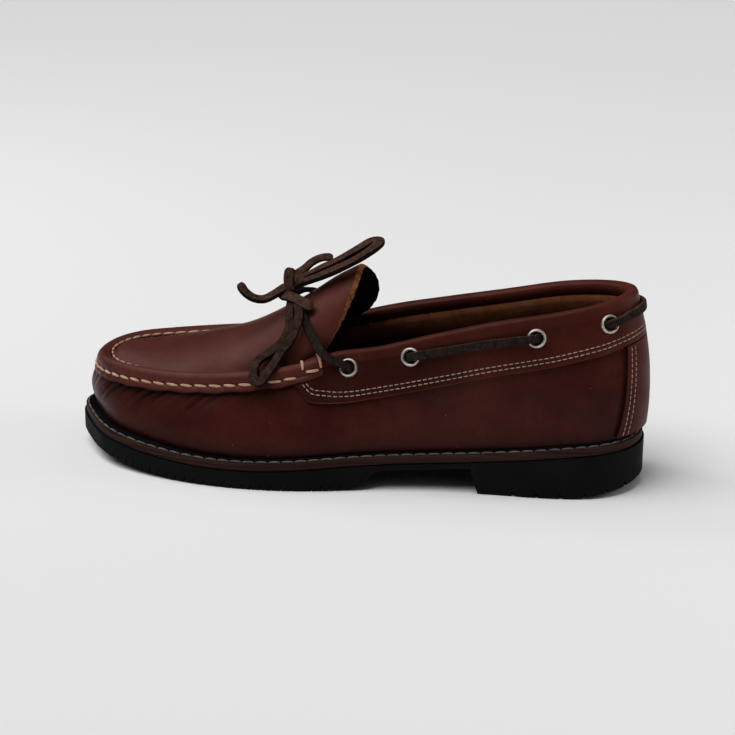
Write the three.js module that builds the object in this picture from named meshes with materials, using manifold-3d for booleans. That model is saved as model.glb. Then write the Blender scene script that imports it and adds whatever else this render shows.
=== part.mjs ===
// A left boat shoe with a sewn apron, a laced collar and a lugged rubber sole.
// Millimetres, +Z up, toe towards -X, outer side of the foot towards -Y.
import * as THREE from "three";
import { mergeVertices } from "three/addons/utils/BufferGeometryUtils.js";
import Module from "manifold-3d";

const wasm = await Module();
wasm.setup();

// Driving dimensions
const soleLength = 304.5;
const ballWidth = 105;
const heelHeight = 28.2; // floor to the top of the midsole at the back of the heel
const foreHeight = 12.8; // floor to the top of the midsole at the ball
const toeSpring = 9; // rise of the tread at the toe tip
const springStart = 0.72; // where the toe spring begins, as a share of the length
const waistThickness = 6.8; // midsole and outsole together under the arch
const midsoleThickness = 3.7;
const midsoleInset = 1;
const weltInset = 3; // how far the raised welt under the upper stands inside the sole's edge
const heelBreast = { foot: 0.273, top: 0.287 }; // front face of the heel, shares of the length
const waistRamp = { front: 0.475, back: 0.441 }; // where the forefoot tread rises to the arch
const rockerStart = 0.6; // the tread lifts a little from here back to the ramp
const rockerRise = 1.3;
const heelBevel = { length: 48, rise: 5.9 }; // rounding under the back of the heel
const collarHeight = 101; // floor to the edge of the wall at the back of the heel
const wall = 2.2; // upper leather with its lining
const overlay = 1.6; // one layer of leather sewn over the wall
const gap = 0.3; // clearance between pieces that lie together
const insoleThickness = 3;
const insoleInset = 1; // clearance round the insole

// The upper's sections, from the back of the heel to the toe tip. Lengths are shares of soleLength,
// widths shares of ballWidth and heights shares of collarHeight. outer and inner are the sole's edge
// on each side, and margin is how far the upper stands inside it. top* place the upper edge of the
// wall, low and high push the wall's profile outwards, and band is the lower edge of the collar band.
const sections = table(
  "place along outer inner margin topAlong topOuter topInner riseOuter riseInner low high band",
  [
    ["heel back", 0, -0.01, -0.01, 0.01, 0.03, -0.005, -0.005, 1.001, 1.001, 0.02, 0.072, 0.798],
    ["heel corner", 0.02, -0.2, 0.181, 0.017, 0.04, -0.09, 0.076, 0.99, 0.996, 0.02, 0.067, 0.787],
    ["heel round", 0.068, -0.319, 0.3, 0.033, 0.077, -0.185, 0.166, 0.962, 0.979, 0.021, 0.058, 0.747],
    ["heel side", 0.147, -0.362, 0.343, 0.04, 0.15, -0.252, 0.238, 0.919, 0.941, 0.024, 0.05, 0.69],
    ["heel front", 0.256, -0.365, 0.335, 0.043, 0.257, -0.293, 0.286, 0.861, 0.864, 0.03, 0.05, 0.626],
    ["waist", 0.36, -0.376, 0.319, 0.043, 0.359, -0.297, 0.293, 0.779, 0.802, 0.043, 0.05, 0.548],
    ["instep", 0.45, -0.414, 0.333, 0.043, 0.445, -0.284, 0.284, 0.698, 0.751, 0.04, 0.05, 0.481],
    ["throat", 0.524, -0.467, 0.376, 0.047, 0.53, -0.267, 0.271, 0.639, 0.684, 0.03, 0.05, 0.428],
    ["seam end", 0.579, -0.498, 0.419, 0.049, 0.566, -0.31, 0.329, 0.599, 0.634, 0.025, 0.048, 0.481],
    ["ball back", 0.633, -0.514, 0.457, 0.051, 0.618, -0.343, 0.35, 0.562, 0.604, 0.024, 0.045, 0.552],
    ["ball", 0.703, -0.512, 0.484, 0.055, 0.694, -0.352, 0.356, 0.527, 0.569, 0.024, 0.045, 0.55],
    ["little toe", 0.782, -0.479, 0.474, 0.059, 0.772, -0.331, 0.347, 0.503, 0.546, 0.024, 0.043, 0.547],
    ["toe side", 0.861, -0.41, 0.434, 0.063, 0.851, -0.286, 0.309, 0.494, 0.528, 0.024, 0.038, 0.544],
    ["toe shoulder", 0.926, -0.307, 0.373, 0.065, 0.915, -0.2, 0.247, 0.491, 0.515, 0.024, 0.034, 0.542],
    ["toe corner", 0.968, -0.158, 0.288, 0.065, 0.952, -0.095, 0.16, 0.489, 0.5, 0.024, 0.03, 0.54],
    ["toe tip", 1, 0.06, 0.06, 0.065, 0.967, 0.033, 0.033, 0.49, 0.49, 0.024, 0.03, 0.539],
  ],
);

// Top of the midsole before the toe spring: rise is a share of the step from ball to heel, and welt
// is the height in millimetres of the raised step that the upper stands on.
const seatProfile = table("along rise welt", [
  [0, 1, 3.6],
  [0.07, 0.94, 2.4],
  [0.14, 0.805, 2],
  [0.24, 0.568, 1.8],
  [0.34, 0.389, 1.8],
  [0.43, 0.29, 1.8],
  [0.51, 0.208, 1.8],
  [0.6, 0.073, 1.8],
  [0.66, 0.015, 1.8],
  [0.72, 0, 1.8],
  [1, 0, 1.8],
]);

// Crest of the apron and tongue: row counts the sections above, height is a share of collarHeight.
const crestProfile = table("row along height bend skew", [
  [7, 0.478, 1.114, 0.56, 0.034],
  [7.45, 0.498, 1.073, 0.58, 0.031],
  [8, 0.541, 0.997, 0.6, 0.02],
  [9, 0.605, 0.859, 0.64, 0.006],
  [10, 0.688, 0.712, 0.72, 0],
  [11, 0.765, 0.633, 0.8, 0],
  [12, 0.841, 0.584, 0.85, 0],
  [13, 0.897, 0.566, 0.9, 0],
  [14, 0.931, 0.552, 0.95, 0],
  [15, 0.944, 0.538, 1, 0],
]);
// How far the skew carries the tongue's two halves towards the heel, and how late it dies out.
const innerReach = 3.5;
const outerReach = 0.5;
const reachEnd = 0.2;

// Apron border: how far outwards and upwards from the wall's edge its surface runs, in millimetres.
const seamDrop = 6.5; // depth of the apron's skirt below the wall's edge
const rollRise = 5.2; // height of the rolled seam above the wall's edge
const rollWidth = 7.4; // wall's edge to the crease inside the roll
const borderProfile = table("out up", [
  [gap + overlay, -seamDrop],
  [gap + overlay, -seamDrop * 0.45],
  [gap + overlay, rollRise * 0.22],
  [0.1 * rollWidth, rollRise * 0.8],
  [-0.32 * rollWidth, rollRise],
  [-0.74 * rollWidth, rollRise * 0.9],
  [-rollWidth, rollRise * 0.68],
]);
const apronSteps = 18; // facets of the wall from the toe tip to the end of the apron's seam
const crownSteps = 8;

const bandGap = 0.45; // clearance between the band and the wall

// Collar bead: section around the wall's edge, outwards and upwards in millimetres.
const beadRise = 3.8;
const hookDepth = 2.6; // how far the bead reaches down inside the wall
const beadProfile = table("out up", [
  [bandGap + overlay, -1],
  [bandGap + overlay + 0.2, beadRise * 0.35],
  [bandGap + overlay * 0.5, beadRise * 0.8],
  [-wall * 0.4, beadRise],
  [-wall - bandGap, beadRise * 0.8],
  [-wall - bandGap - overlay, beadRise * 0.3],
  [-wall - bandGap - overlay, -hookDepth],
  [-wall - bandGap, -hookDepth],
  [-wall - bandGap, bandGap],
  [bandGap, bandGap],
  [bandGap, -1],
]);
const bandSteps = 20; // facets of the wall from the heel to the band's end under the apron's skirt

// Heel strip: half its extent in section rows, at shares of its height.
const stripProfile = table("share reach", [
  [0.02, 1.52],
  [0.2, 1.42],
  [0.4, 1.36],
  [0.7, 1.33],
  [1, 1.33],
]);

// Eyelets and lace
const eyelet = { hole: 3, barrel: 3.4, rim: 5.4, height: 1, lift: 0.55 }; // lift is under the flat rim
const eyeletPlaces = table("along drop", [
  [0.499, 9.2],
  [0.393, 9],
  [0.185, 11.2],
  [0.069, 11.2],
]);
const lace = { width: 3.8, thickness: 2.7 };
const knotLace = { width: 5, thickness: 4.4 };
const heelLaceHeight = 0.938; // height of the lace round the heel, a share of collarHeight

// The lace's paths through the air and over the tongue, in the shares used above.
const frontOuterPath = table("along across height", [
  [0.589, -0.172, 0.846],
  [0.583, -0.196, 0.818],
  [0.564, -0.243, 0.738],
  [0.542, -0.318, 0.682],
]);
const frontInnerPath = table("along across height", [
  [0.592, 0.165, 0.868],
  [0.583, 0.228, 0.83],
  [0.564, 0.292, 0.77],
  [0.542, 0.338, 0.725],
]);
const knotPath = table("along across height", [
  [0.633, -0.029, 0.895],
  [0.618, -0.048, 0.898],
  [0.598, -0.095, 0.897],
  [0.58, -0.148, 0.886],
]);
const knotStemPath = table("along across height", [
  [0.617, -0.048, 1.048],
  [0.620, -0.048, 0.983],
  [0.616, -0.048, 0.918],
]);
const highLoopPath = table("along across height", [
  [0.607, -0.031, 0.955],
  [0.564, -0.062, 1.017],
  [0.528, -0.076, 1.074],
  [0.493, -0.076, 1.136],
  [0.470, -0.065, 1.188],
  [0.463, -0.032, 1.210],
  [0.476, -0.010, 1.204],
  [0.503, -0.023, 1.155],
  [0.534, -0.026, 1.097],
  [0.568, -0.012, 1.037],
  [0.599, 0.014, 0.981],
]);
const lowLoopPath = table("along across height", [
  [0.613, -0.130, 0.850],
  [0.609, -0.200, 0.776],
  [0.618, -0.239, 0.709],
  [0.640, -0.264, 0.653],
  [0.655, -0.333, 0.627],
  [0.658, -0.380, 0.597],
  [0.657, -0.401, 0.564],
  [0.649, -0.407, 0.541],
  [0.640, -0.400, 0.559],
  [0.632, -0.380, 0.597],
  [0.625, -0.340, 0.627],
  [0.619, -0.272, 0.660],
  [0.606, -0.269, 0.716],
  [0.596, -0.255, 0.776],
  [0.591, -0.224, 0.834],
]);
const shortEndPath = table("along across height", [
  [0.622, -0.012, 0.972],
  [0.614, 0.052, 0.985],
  [0.603, 0.105, 1.000],
  [0.590, 0.124, 1.035],
  [0.573, 0.133, 1.059],
  [0.554, 0.133, 1.065],
]);
const longEndPath = table("along across height", [
  [0.636, -0.066, 0.924],
  [0.644, -0.076, 0.909],
  [0.660, -0.095, 0.887],
  [0.677, -0.114, 0.896],
  [0.692, -0.124, 0.931],
  [0.701, -0.124, 0.975],
]);

// Lugs
const forePitch = 5.2;
const foreSlot = { width: 1.3, height: 3, depth: 9 };
const heelPitch = 12;
const heelSlot = { width: 2.6, height: 2.2, depth: 9 };
const treadGroove = { width: 3.2, height: 3, rim: 15 };
const foreGrooves = [0.5, 0.55, 0.6, 0.65, 0.7, 0.75, 0.8, 0.85]; // places across the tread, shares of soleLength
const heelGrooves = [0.09, 0.14, 0.19, 0.24];
const foreSlotStart = 0.012; // the slots begin this far in front of the ramp and of the heel's breast
const heelSlotStart = 0.02;

// Materials
const chestnut = leather(0x5a211b, 0.38);
const chestnutEdge = leather(0x54201a, 0.42);
const darkRubber = leather(0x111214, 0.75);
const brownWelt = leather(0x2e1d19, 0.7);
const suede = leather(0x4a2a18, 0.95);
const rawhide = leather(0x2a1c1a, 0.7);
const nickel = new THREE.MeshStandardMaterial({ color: 0xb9b2ac, roughness: 0.3, metalness: 0.9 });

// Small tools

function leather(color, roughness) {
  return new THREE.MeshStandardMaterial({ color, roughness, metalness: 0 });
}

function table(names, rows) {
  const keys = names.split(" ");
  return rows.map((row) => Object.fromEntries(keys.map((key, i) => [key, row[i]])));
}

function clamp(x, low, high) {
  return Math.min(high, Math.max(low, x));
}

function smooth(x) {
  const t = clamp(x, 0, 1);
  return t * t * (3 - 2 * t);
}

// A smooth function through the rows of a table, by the given columns.
function through(rows, xKey, yKey) {
  const x = rows.map((row) => row[xKey]);
  const y = rows.map((row) => row[yKey]);
  const last = x.length - 1;
  const slope = y.map((_, i) => {
    const before = Math.max(i - 1, 0);
    const after = Math.min(i + 1, last);
    return (y[after] - y[before]) / (x[after] - x[before]);
  });
  return (at) => {
    const value = clamp(at, x[0], x[last]);
    let i = 0;
    while (i < last - 1 && value > x[i + 1]) i++;
    const step = x[i + 1] - x[i];
    const t = (value - x[i]) / step;
    const a = 2 * t ** 3 - 3 * t ** 2 + 1;
    const b = t ** 3 - 2 * t ** 2 + t;
    const c = t ** 3 - t ** 2;
    return a * y[i] + b * step * slope[i] + (1 - a) * y[i + 1] + c * step * slope[i + 1];
  };
}

// The value that makes a rising or falling function reach a target.
function solve(f, target, low, high) {
  const rising = f(high) > f(low);
  let [a, b] = [low, high];
  for (let i = 0; i < 40; i++) {
    const middle = (a + b) / 2;
    if (f(middle) < target === rising) a = middle;
    else b = middle;
  }
  return (a + b) / 2;
}

function xAt(along) {
  return soleLength * (0.5 - along);
}

function alongAt(x) {
  return 0.5 - x / soleLength;
}

// Closed curve through the sections: out along the outer side to the toe, back along the inner side.
const lastRow = sections.length - 1;
const around = 2 * lastRow;

// Facets of the wall: levels from foot to edge, and steps round the shoe.
const wallRows = 5;
const wallSteps = 72;
const rowStep = around / wallSteps; // section rows in one step

function loop(pointOf, type = "centripetal") {
  const outer = sections.map((row) => pointOf(row, -1));
  const inner = sections.slice(1, -1).map((row) => pointOf(row, 1));
  return new THREE.CatmullRomCurve3([...outer, ...inner.reverse()], true, type);
}

function turn(side, row) {
  return side < 0 ? row / around : (around - row) / around;
}

// The sole's form

const soleCurve = loop(
  (row, side) => new THREE.Vector3(xAt(row.along), ballWidth * (side < 0 ? row.outer : row.inner), 0),
);
const seatRise = through(seatProfile, "along", "rise");
const weltRise = through(seatProfile, "along", "welt");

function spring(along) {
  return toeSpring * clamp((along - springStart) / (1 - springStart), 0, 1) ** 1.6;
}

function seatHeight(x) {
  const along = alongAt(x);
  return foreHeight + (heelHeight - foreHeight) * seatRise(along) + spring(along);
}

function weltHeight(x) {
  return seatHeight(x) + weltRise(alongAt(x));
}

function treadHeight(x) {
  const along = alongAt(x);
  const arch = seatHeight(x) - waistThickness;
  if (along < heelBreast.foot) {
    const back = clamp(1 - (soleLength / 2 - x) / heelBevel.length, 0, 1);
    return heelBevel.rise * back ** 2;
  }
  if (along < heelBreast.top) {
    return (arch * (along - heelBreast.foot)) / (heelBreast.top - heelBreast.foot);
  }
  if (along < waistRamp.back) return arch;
  const rocker = rockerRise * clamp((rockerStart - along) / (rockerStart - waistRamp.front), 0, 1) ** 2;
  if (along < waistRamp.front) {
    const step = smooth((along - waistRamp.back) / (waistRamp.front - waistRamp.back));
    return arch + (rocker - arch) * step;
  }
  return spring(along) + rocker;
}

// Outward direction in plan at a place on the loop.
function outward(t) {
  const step = 5e-4;
  const run = soleCurve.getPoint(t + step).sub(soleCurve.getPoint(t - step));
  return new THREE.Vector3(-run.y, run.x, 0).normalize();
}

function inset(distance) {
  return (t) => soleCurve.getPoint(t).addScaledVector(outward(t), -distance);
}

// The wall's form

const columnLoops = {};
for (const key of ["margin", "low", "high", "band"]) {
  columnLoops[key] = loop((row) => new THREE.Vector3(row[key], 0, 0), "catmullrom");
}
const topCurve = loop((row, side) => {
  const across = side < 0 ? row.topOuter : row.topInner;
  const rise = side < 0 ? row.riseOuter : row.riseInner;
  return new THREE.Vector3(xAt(row.topAlong), ballWidth * across, collarHeight * rise);
});

function column(key, t) {
  return columnLoops[key].getPoint(t).x;
}

function footPoint(t, extra = 0) {
  const point = soleCurve.getPoint(t).addScaledVector(outward(t), -ballWidth * column("margin", t) - extra);
  point.z = weltHeight(point.x) + gap;
  return point;
}

// Outer face of the wall: t runs round the shoe and v from the foot to the upper edge.
function wallPoint(t, v) {
  const foot = footPoint(t);
  const top = topCurve.getPoint(t);
  const out = outward(t);
  const low = foot.clone().lerp(top, 1 / 3);
  const high = foot.clone().lerp(top, 2 / 3);
  const lowPlan = foot.clone().addScaledVector(out, ballWidth * column("low", t));
  const highPlan = top.clone().addScaledVector(out, ballWidth * column("high", t));
  low.set(lowPlan.x, lowPlan.y, low.z);
  high.set(highPlan.x, highPlan.y, high.z);
  return new THREE.CubicBezierCurve3(foot, low, high, top).getPoint(v);
}

// Outward normal, upward tangent and place at t and v on the wall.
function wallFrame(t, v) {
  const step = 0.002;
  const low = Math.max(v - step, 0);
  const high = Math.min(v + step, 1);
  const up = wallPoint(t, high).sub(wallPoint(t, low)).normalize();
  const along = wallPoint(t + step, v).sub(wallPoint(t - step, v)).normalize();
  const out = up.clone().cross(along).normalize();
  return { at: wallPoint(t, v), out, up };
}

function wallOffset(t, v, out, up = 0) {
  const frame = wallFrame(t, v);
  return frame.at.addScaledVector(frame.out, out).addScaledVector(frame.up, up);
}

function heightShare(t, z) {
  return solve((v) => wallPoint(t, v).z, z, 0, 1);
}

// Solids

// Triangles of a grid of points. Points that meet are merged and flat triangles dropped.
function gridSurface(rows, wrap = false, flip = false) {
  const points = [];
  const faces = [];
  const found = new Map();
  const index = (p) => {
    const key = [p.x, p.y, p.z].map((value) => Math.round(value * 1e3)).join();
    if (!found.has(key)) {
      found.set(key, points.length);
      points.push(p);
    }
    return found.get(key);
  };
  const grid = rows.map((row) => row.map(index));
  const count = wrap ? rows.length : rows.length - 1;
  for (let i = 0; i < count; i++) {
    const next = grid[(i + 1) % rows.length];
    for (let j = 0; j + 1 < grid[i].length; j++) {
      const [a, b, c, d] = [grid[i][j], next[j], next[j + 1], grid[i][j + 1]];
      for (const face of [[a, b, c], [a, c, d]]) {
        if (new Set(face).size === 3) faces.push(flip ? face.reverse() : face);
      }
    }
  }
  return { points, faces };
}

function toGeometry(points, faces) {
  const geometry = new THREE.BufferGeometry();
  geometry.setAttribute("position", new THREE.Float32BufferAttribute(points.flatMap((p) => p.toArray()), 3));
  geometry.setIndex(faces.flat());
  return geometry;
}

// A closed shell between two offsets of an open surface.
function shell(surface, outside, inside) {
  const geometry = toGeometry(surface.points, surface.faces);
  geometry.computeVertexNormals();
  const normals = geometry.getAttribute("normal");
  const shifted = (distance) =>
    surface.points.map((p, i) =>
      p.clone().addScaledVector(new THREE.Vector3().fromBufferAttribute(normals, i), distance),
    );
  const count = surface.points.length;
  const edges = new Set(surface.faces.flatMap(([a, b, c]) => [`${a} ${b}`, `${b} ${c}`, `${c} ${a}`]));
  const faces = [...surface.faces, ...surface.faces.map(([a, b, c]) => [c + count, b + count, a + count])];
  for (const edge of edges) {
    const [a, b] = edge.split(" ").map(Number);
    if (edges.has(`${b} ${a}`)) continue;
    faces.push([b, a, a + count], [b, a + count, b + count]);
  }
  return toGeometry([...shifted(outside), ...shifted(inside)], faces);
}

// A closed tube from rings of points, with flat ends.
function ringSolid(rings) {
  const { points, faces } = gridSurface(rings.map((ring) => [...ring, ring[0]]));
  const indexOf = (ring) => ring.map((p) => points.indexOf(p));
  const start = indexOf(rings[0]);
  const end = indexOf(rings.at(-1));
  for (const [a, b, c] of capFaces(rings[0])) faces.push([start[a], start[b], start[c]]);
  for (const [a, b, c] of capFaces(rings.at(-1))) faces.push([end[c], end[b], end[a]]);
  return facingOut(points, faces);
}

// Triangles that close a nearly flat ring of points, in the ring's own sense.
function capFaces(ring) {
  const centre = ring.reduce((sum, p) => sum.add(p), new THREE.Vector3()).divideScalar(ring.length);
  const arms = ring.map((p) => p.clone().sub(centre));
  const normal = new THREE.Vector3();
  arms.forEach((arm, i) => normal.add(arm.clone().cross(arms[(i + 1) % arms.length])));
  normal.normalize();
  const right = arms[0].clone().projectOnPlane(normal).normalize();
  const up = normal.clone().cross(right);
  const flat = arms.map((arm) => new THREE.Vector2(arm.dot(right), arm.dot(up)));
  const faces = THREE.ShapeUtils.triangulateShape(flat, []);
  const area = ([a, b, c]) => flat[b].clone().sub(flat[a]).cross(flat[c].clone().sub(flat[a]));
  const total = faces.reduce((sum, face) => sum + area(face), 0);
  return total < 0 ? faces.map(([a, b, c]) => [c, b, a]) : faces;
}

function facingOut(points, faces) {
  const inward = signedVolume(points, faces) < 0;
  return toGeometry(points, inward ? faces.map(([a, b, c]) => [c, b, a]) : faces);
}

function signedVolume(points, faces) {
  let volume = 0;
  for (const [a, b, c] of faces) volume += points[a].dot(points[b].clone().cross(points[c])) / 6;
  return volume;
}

function toManifold(geometry) {
  const bare = new THREE.BufferGeometry();
  bare.setAttribute("position", geometry.getAttribute("position"));
  if (geometry.index) bare.setIndex(geometry.index);
  const merged = mergeVertices(bare, 1e-3);
  return new wasm.Manifold(
    new wasm.Mesh({
      numProp: 3,
      vertProperties: new Float32Array(merged.attributes.position.array),
      triVerts: new Uint32Array(merged.index.array),
    }),
  );
}

function fromManifold(solid) {
  const mesh = solid.getMesh();
  const geometry = new THREE.BufferGeometry();
  const positions = new Float32Array(mesh.numVert * 3);
  for (let i = 0; i < mesh.numVert; i++) {
    positions.set(mesh.vertProperties.subarray(i * mesh.numProp, i * mesh.numProp + 3), i * 3);
  }
  geometry.setAttribute("position", new THREE.BufferAttribute(positions, 3));
  geometry.setIndex(new THREE.BufferAttribute(mesh.triVerts, 1));
  return geometry;
}

const shoe = new THREE.Group();

function place(name, geometry, material, parent = shoe) {
  const mesh = new THREE.Mesh(geometry, material);
  mesh.name = name;
  parent.add(mesh);
  return mesh;
}

// Soles

// Both edges of a loop in plan, as functions of x.
function edgesOf(curve) {
  const fine = 40 * around;
  return [-1, 1].map((side) => {
    const samples = [];
    for (let i = 0; i <= fine / 2; i++) samples.push(curve(turn(side, (i * lastRow * 2) / fine)));
    return (x) => {
      let i = 0;
      while (i < samples.length - 2 && samples[i + 1].x > x) i++;
      const [a, b] = [samples[i], samples[i + 1]];
      return a.y + (b.y - a.y) * clamp((x - a.x) / (b.x - a.x || 1), 0, 1);
    };
  });
}

// Places along the sole, close together at both round ends, with the profile's own corners.
function soleStations(curve, steps, corners = []) {
  const start = curve(0).x;
  const end = curve(0.5).x;
  const places = corners.map((along) => xAt(along));
  for (let i = 0; i <= steps; i++) {
    places.push((start + end) / 2 + ((start - end) / 2) * Math.cos((Math.PI * i) / steps));
  }
  return places.sort((a, b) => b - a).filter((x, i, all) => i === 0 || all[i - 1] - x > 0.15);
}

// A layer of the sole between two height functions of x.
function soleLayer(curve, steps, low, high, corners = []) {
  const [outerEdge, innerEdge] = edgesOf(curve);
  const stations = soleStations(curve, steps, corners);
  const rows = stations.map((x, i) => {
    const tip = i === 0 || i === stations.length - 1;
    const outer = outerEdge(x);
    const inner = tip ? outer : innerEdge(x);
    return [
      new THREE.Vector3(x, outer, low(x)),
      new THREE.Vector3(x, inner, low(x)),
      new THREE.Vector3(x, inner, high(x)),
      new THREE.Vector3(x, outer, high(x)),
      new THREE.Vector3(x, outer, low(x)),
    ];
  });
  const { points, faces } = gridSurface(rows);
  return facingOut(points, faces);
}

// Even steps along the sole's edge from one share of the loop to another.
function edgePlaces(from, to, pitch) {
  const fine = 2000;
  const places = [];
  let travelled = pitch / 2;
  let before = soleCurve.getPoint(from);
  for (let i = 1; i <= fine; i++) {
    const t = from + ((to - from) * i) / fine;
    const here = soleCurve.getPoint(t);
    travelled += here.distanceTo(before);
    before = here;
    if (travelled >= pitch) {
      places.push(t);
      travelled -= pitch;
    }
  }
  return places;
}

function slotCutter(t, slot) {
  const out = outward(t);
  const edge = soleCurve.getPoint(t);
  const reach = 3;
  const box = new THREE.BoxGeometry(slot.depth + reach, slot.width, slot.height * 2);
  const middle = edge.clone().addScaledVector(out, (reach - slot.depth) / 2);
  const inside = edge.clone().addScaledVector(out, -slot.depth / 2);
  box.rotateZ(Math.atan2(out.y, out.x));
  box.translate(middle.x, middle.y, Math.max(treadHeight(edge.x), treadHeight(inside.x)));
  return toManifold(box);
}

function grooveCutter(along, edges, groove) {
  const x = xAt(along);
  const low = edges[0](x) + groove.rim;
  const high = edges[1](x) - groove.rim;
  const box = new THREE.BoxGeometry(groove.width, high - low, groove.height * 2);
  box.translate(x, (low + high) / 2, treadHeight(x));
  return toManifold(box);
}

function makeOutsole() {
  const corners = [heelBreast.foot, heelBreast.top, waistRamp.back, waistRamp.front];
  for (const share of [0.25, 0.5, 0.75]) corners.push(waistRamp.back + (waistRamp.front - waistRamp.back) * share);
  const top = (x) => seatHeight(x) - midsoleThickness - gap;
  const body = toManifold(soleLayer(inset(0), 40, treadHeight, top, corners));
  const alongOf = (row) => alongAt(soleCurve.getPoint(turn(-1, row)).x);
  const foreStart = solve(alongOf, waistRamp.front + foreSlotStart, 4, 9);
  const heelStart = solve(alongOf, heelBreast.foot - heelSlotStart, 2, 7);
  const cutters = [];
  for (const t of edgePlaces(turn(-1, foreStart), turn(1, foreStart), forePitch)) {
    cutters.push(slotCutter(t, foreSlot));
  }
  for (const t of edgePlaces(-turn(-1, heelStart), turn(-1, heelStart), heelPitch)) {
    cutters.push(slotCutter(t, heelSlot));
  }
  const edges = edgesOf(inset(0));
  for (const along of [...foreGrooves, ...heelGrooves]) cutters.push(grooveCutter(along, edges, treadGroove));
  return fromManifold(cutters.reduce((solid, cutter) => solid.subtract(cutter), body));
}

function makeMidsole() {
  const low = (x) => seatHeight(x) - midsoleThickness;
  const middle = (x) => seatHeight(x) - midsoleThickness / 2;
  const base = toManifold(soleLayer(inset(midsoleInset), 32, low, seatHeight));
  const welt = toManifold(soleLayer(inset(weltInset), 32, middle, weltHeight));
  return fromManifold(base.add(welt));
}

function makeInsole() {
  const curve = (t) => footPoint(t, wall + insoleInset);
  const low = (x) => weltHeight(x) + gap;
  const high = (x) => low(x) + insoleThickness;
  return soleLayer(curve, 30, low, high);
}

// Upper

function makeUpper(holes) {
  const rows = [];
  for (let i = 0; i < wallSteps; i++) {
    const t = i / wallSteps;
    rows.push(Array.from({ length: wallRows + 1 }, (_, j) => wallPoint(t, j / wallRows)));
  }
  const solid = toManifold(shell(gridSurface(rows, true, true), 0, -wall));
  return fromManifold(holes.reduce((body, hole) => body.subtract(hole), solid));
}

// Apron

const crest = {
  along: through(crestProfile, "row", "along"),
  height: through(crestProfile, "row", "height"),
  bend: through(crestProfile, "row", "bend"),
  skew: through(crestProfile, "row", "skew"),
};

const apronEnd = lastRow - apronSteps * rowStep;

// A place beside the wall's edge: below the edge it follows the wall, above it carries straight on.
function edgeOffset(t, out, up) {
  if (up >= 0) return wallOffset(t, 1, out, up);
  const height = topCurve.getPoint(t).distanceTo(footPoint(t));
  return wallOffset(t, 1 + up / height, out);
}

function borderPoint(side, row, rule) {
  return edgeOffset(turn(side, row), rule.out, rule.up);
}

// A point of the apron's field: row along the shoe, q from -1 at the outer crease to 1 at the inner.
function fieldPoint(row, q) {
  const rule = borderProfile.at(-1);
  const outer = borderPoint(-1, row, rule);
  const inner = borderPoint(1, row, rule);
  const middle = outer.clone().add(inner).divideScalar(2);
  const top = new THREE.Vector3(xAt(crest.along(row)), middle.y, collarHeight * crest.height(row));
  const rise = top.sub(middle);
  const arch = (1 - Math.abs(q) ** 2.1) ** crest.bend(row);
  const reach = q > 0 ? innerReach : outerReach;
  const lean = soleLength * crest.skew(row) * reach * q ** 2 * (1 - Math.abs(q)) ** reachEnd;
  const point = outer.lerp(inner, (q + 1) / 2);
  point.x += rise.x * arch + lean;
  point.z += rise.z * arch;
  return point;
}

function apronRow(row) {
  const outer = borderProfile.map((rule) => borderPoint(-1, row, rule));
  const inner = borderProfile.map((rule) => borderPoint(1, row, rule)).reverse();
  const field = [];
  for (let j = 1; j < crownSteps; j++) {
    field.push(row === lastRow ? outer.at(-1) : fieldPoint(row, -Math.cos((Math.PI * j) / crownSteps)));
  }
  return [...outer, ...field, ...inner];
}

function makeApron() {
  const rows = [];
  for (let i = 0; i <= apronSteps; i++) rows.push(apronRow(lastRow - i * rowStep));
  return shell(gridSurface(rows), 0, -overlay);
}

// Collar band and heel strip

// One cross-section of the band: up its outer face, over the bead, down inside and back.
function bandRing(t) {
  const low = heightShare(t, collarHeight * column("band", t));
  const levels = [0, 0.34, 0.67].map((share) => low + (0.96 - low) * share);
  const outer = levels.map((v) => wallOffset(t, v, bandGap + overlay));
  const inner = levels.map((v) => wallOffset(t, v, bandGap)).reverse();
  const bead = beadProfile.map((rule) => edgeOffset(t, rule.out, rule.up));
  return [...outer, ...bead, ...inner];
}

// Clears the apron's border, and a gap round it, out of a piece that meets it.
function seamCutter(side) {
  const rings = [];
  const depth = seamDrop + gap;
  for (let row = apronEnd - 0.1; row < 10; row += rowStep) {
    const corners = [[-wall - 8, -depth], [-wall - 8, rollRise + 3], [5, rollRise + 3], [5, -depth]];
    rings.push(corners.map(([out, up]) => edgeOffset(turn(side, row), out, up)));
  }
  return toManifold(ringSolid(rings));
}

function makeBand(holes) {
  const rings = [];
  for (let i = -bandSteps; i <= bandSteps; i++) rings.push(bandRing(i / wallSteps));
  const solid = toManifold(ringSolid(rings));
  const cutters = [...holes, seamCutter(-1), seamCutter(1)];
  return fromManifold(cutters.reduce((body, cutter) => body.subtract(cutter), solid));
}

function makeStrip() {
  const rows = [];
  const steps = 8;
  for (let i = 0; i <= steps; i++) {
    rows.push(
      stripProfile.map((rule) => {
        const t = (rule.reach / around) * (1 - (2 * i) / steps);
        const high = heightShare(t, collarHeight * column("band", t) - 2 * gap);
        return wallPoint(t, high * rule.share);
      }),
    );
  }
  return shell(gridSurface(rows), 1.4 * gap + overlay, 1.4 * gap);
}

// Eyelets

function eyeletFrame(side, rule) {
  const top = (t) => solve((v) => wallPoint(t, v).z, topCurve.getPoint(t).z - rule.drop + beadRise, 0, 1);
  const row = solve((r) => wallPoint(turn(side, r), top(turn(side, r))).x, xAt(rule.along), 0, 9);
  const t = turn(side, row);
  const v = top(t);
  return { t, v, side, turnT: side < 0 ? t : t - 1, ...wallFrame(t, v) };
}

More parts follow.
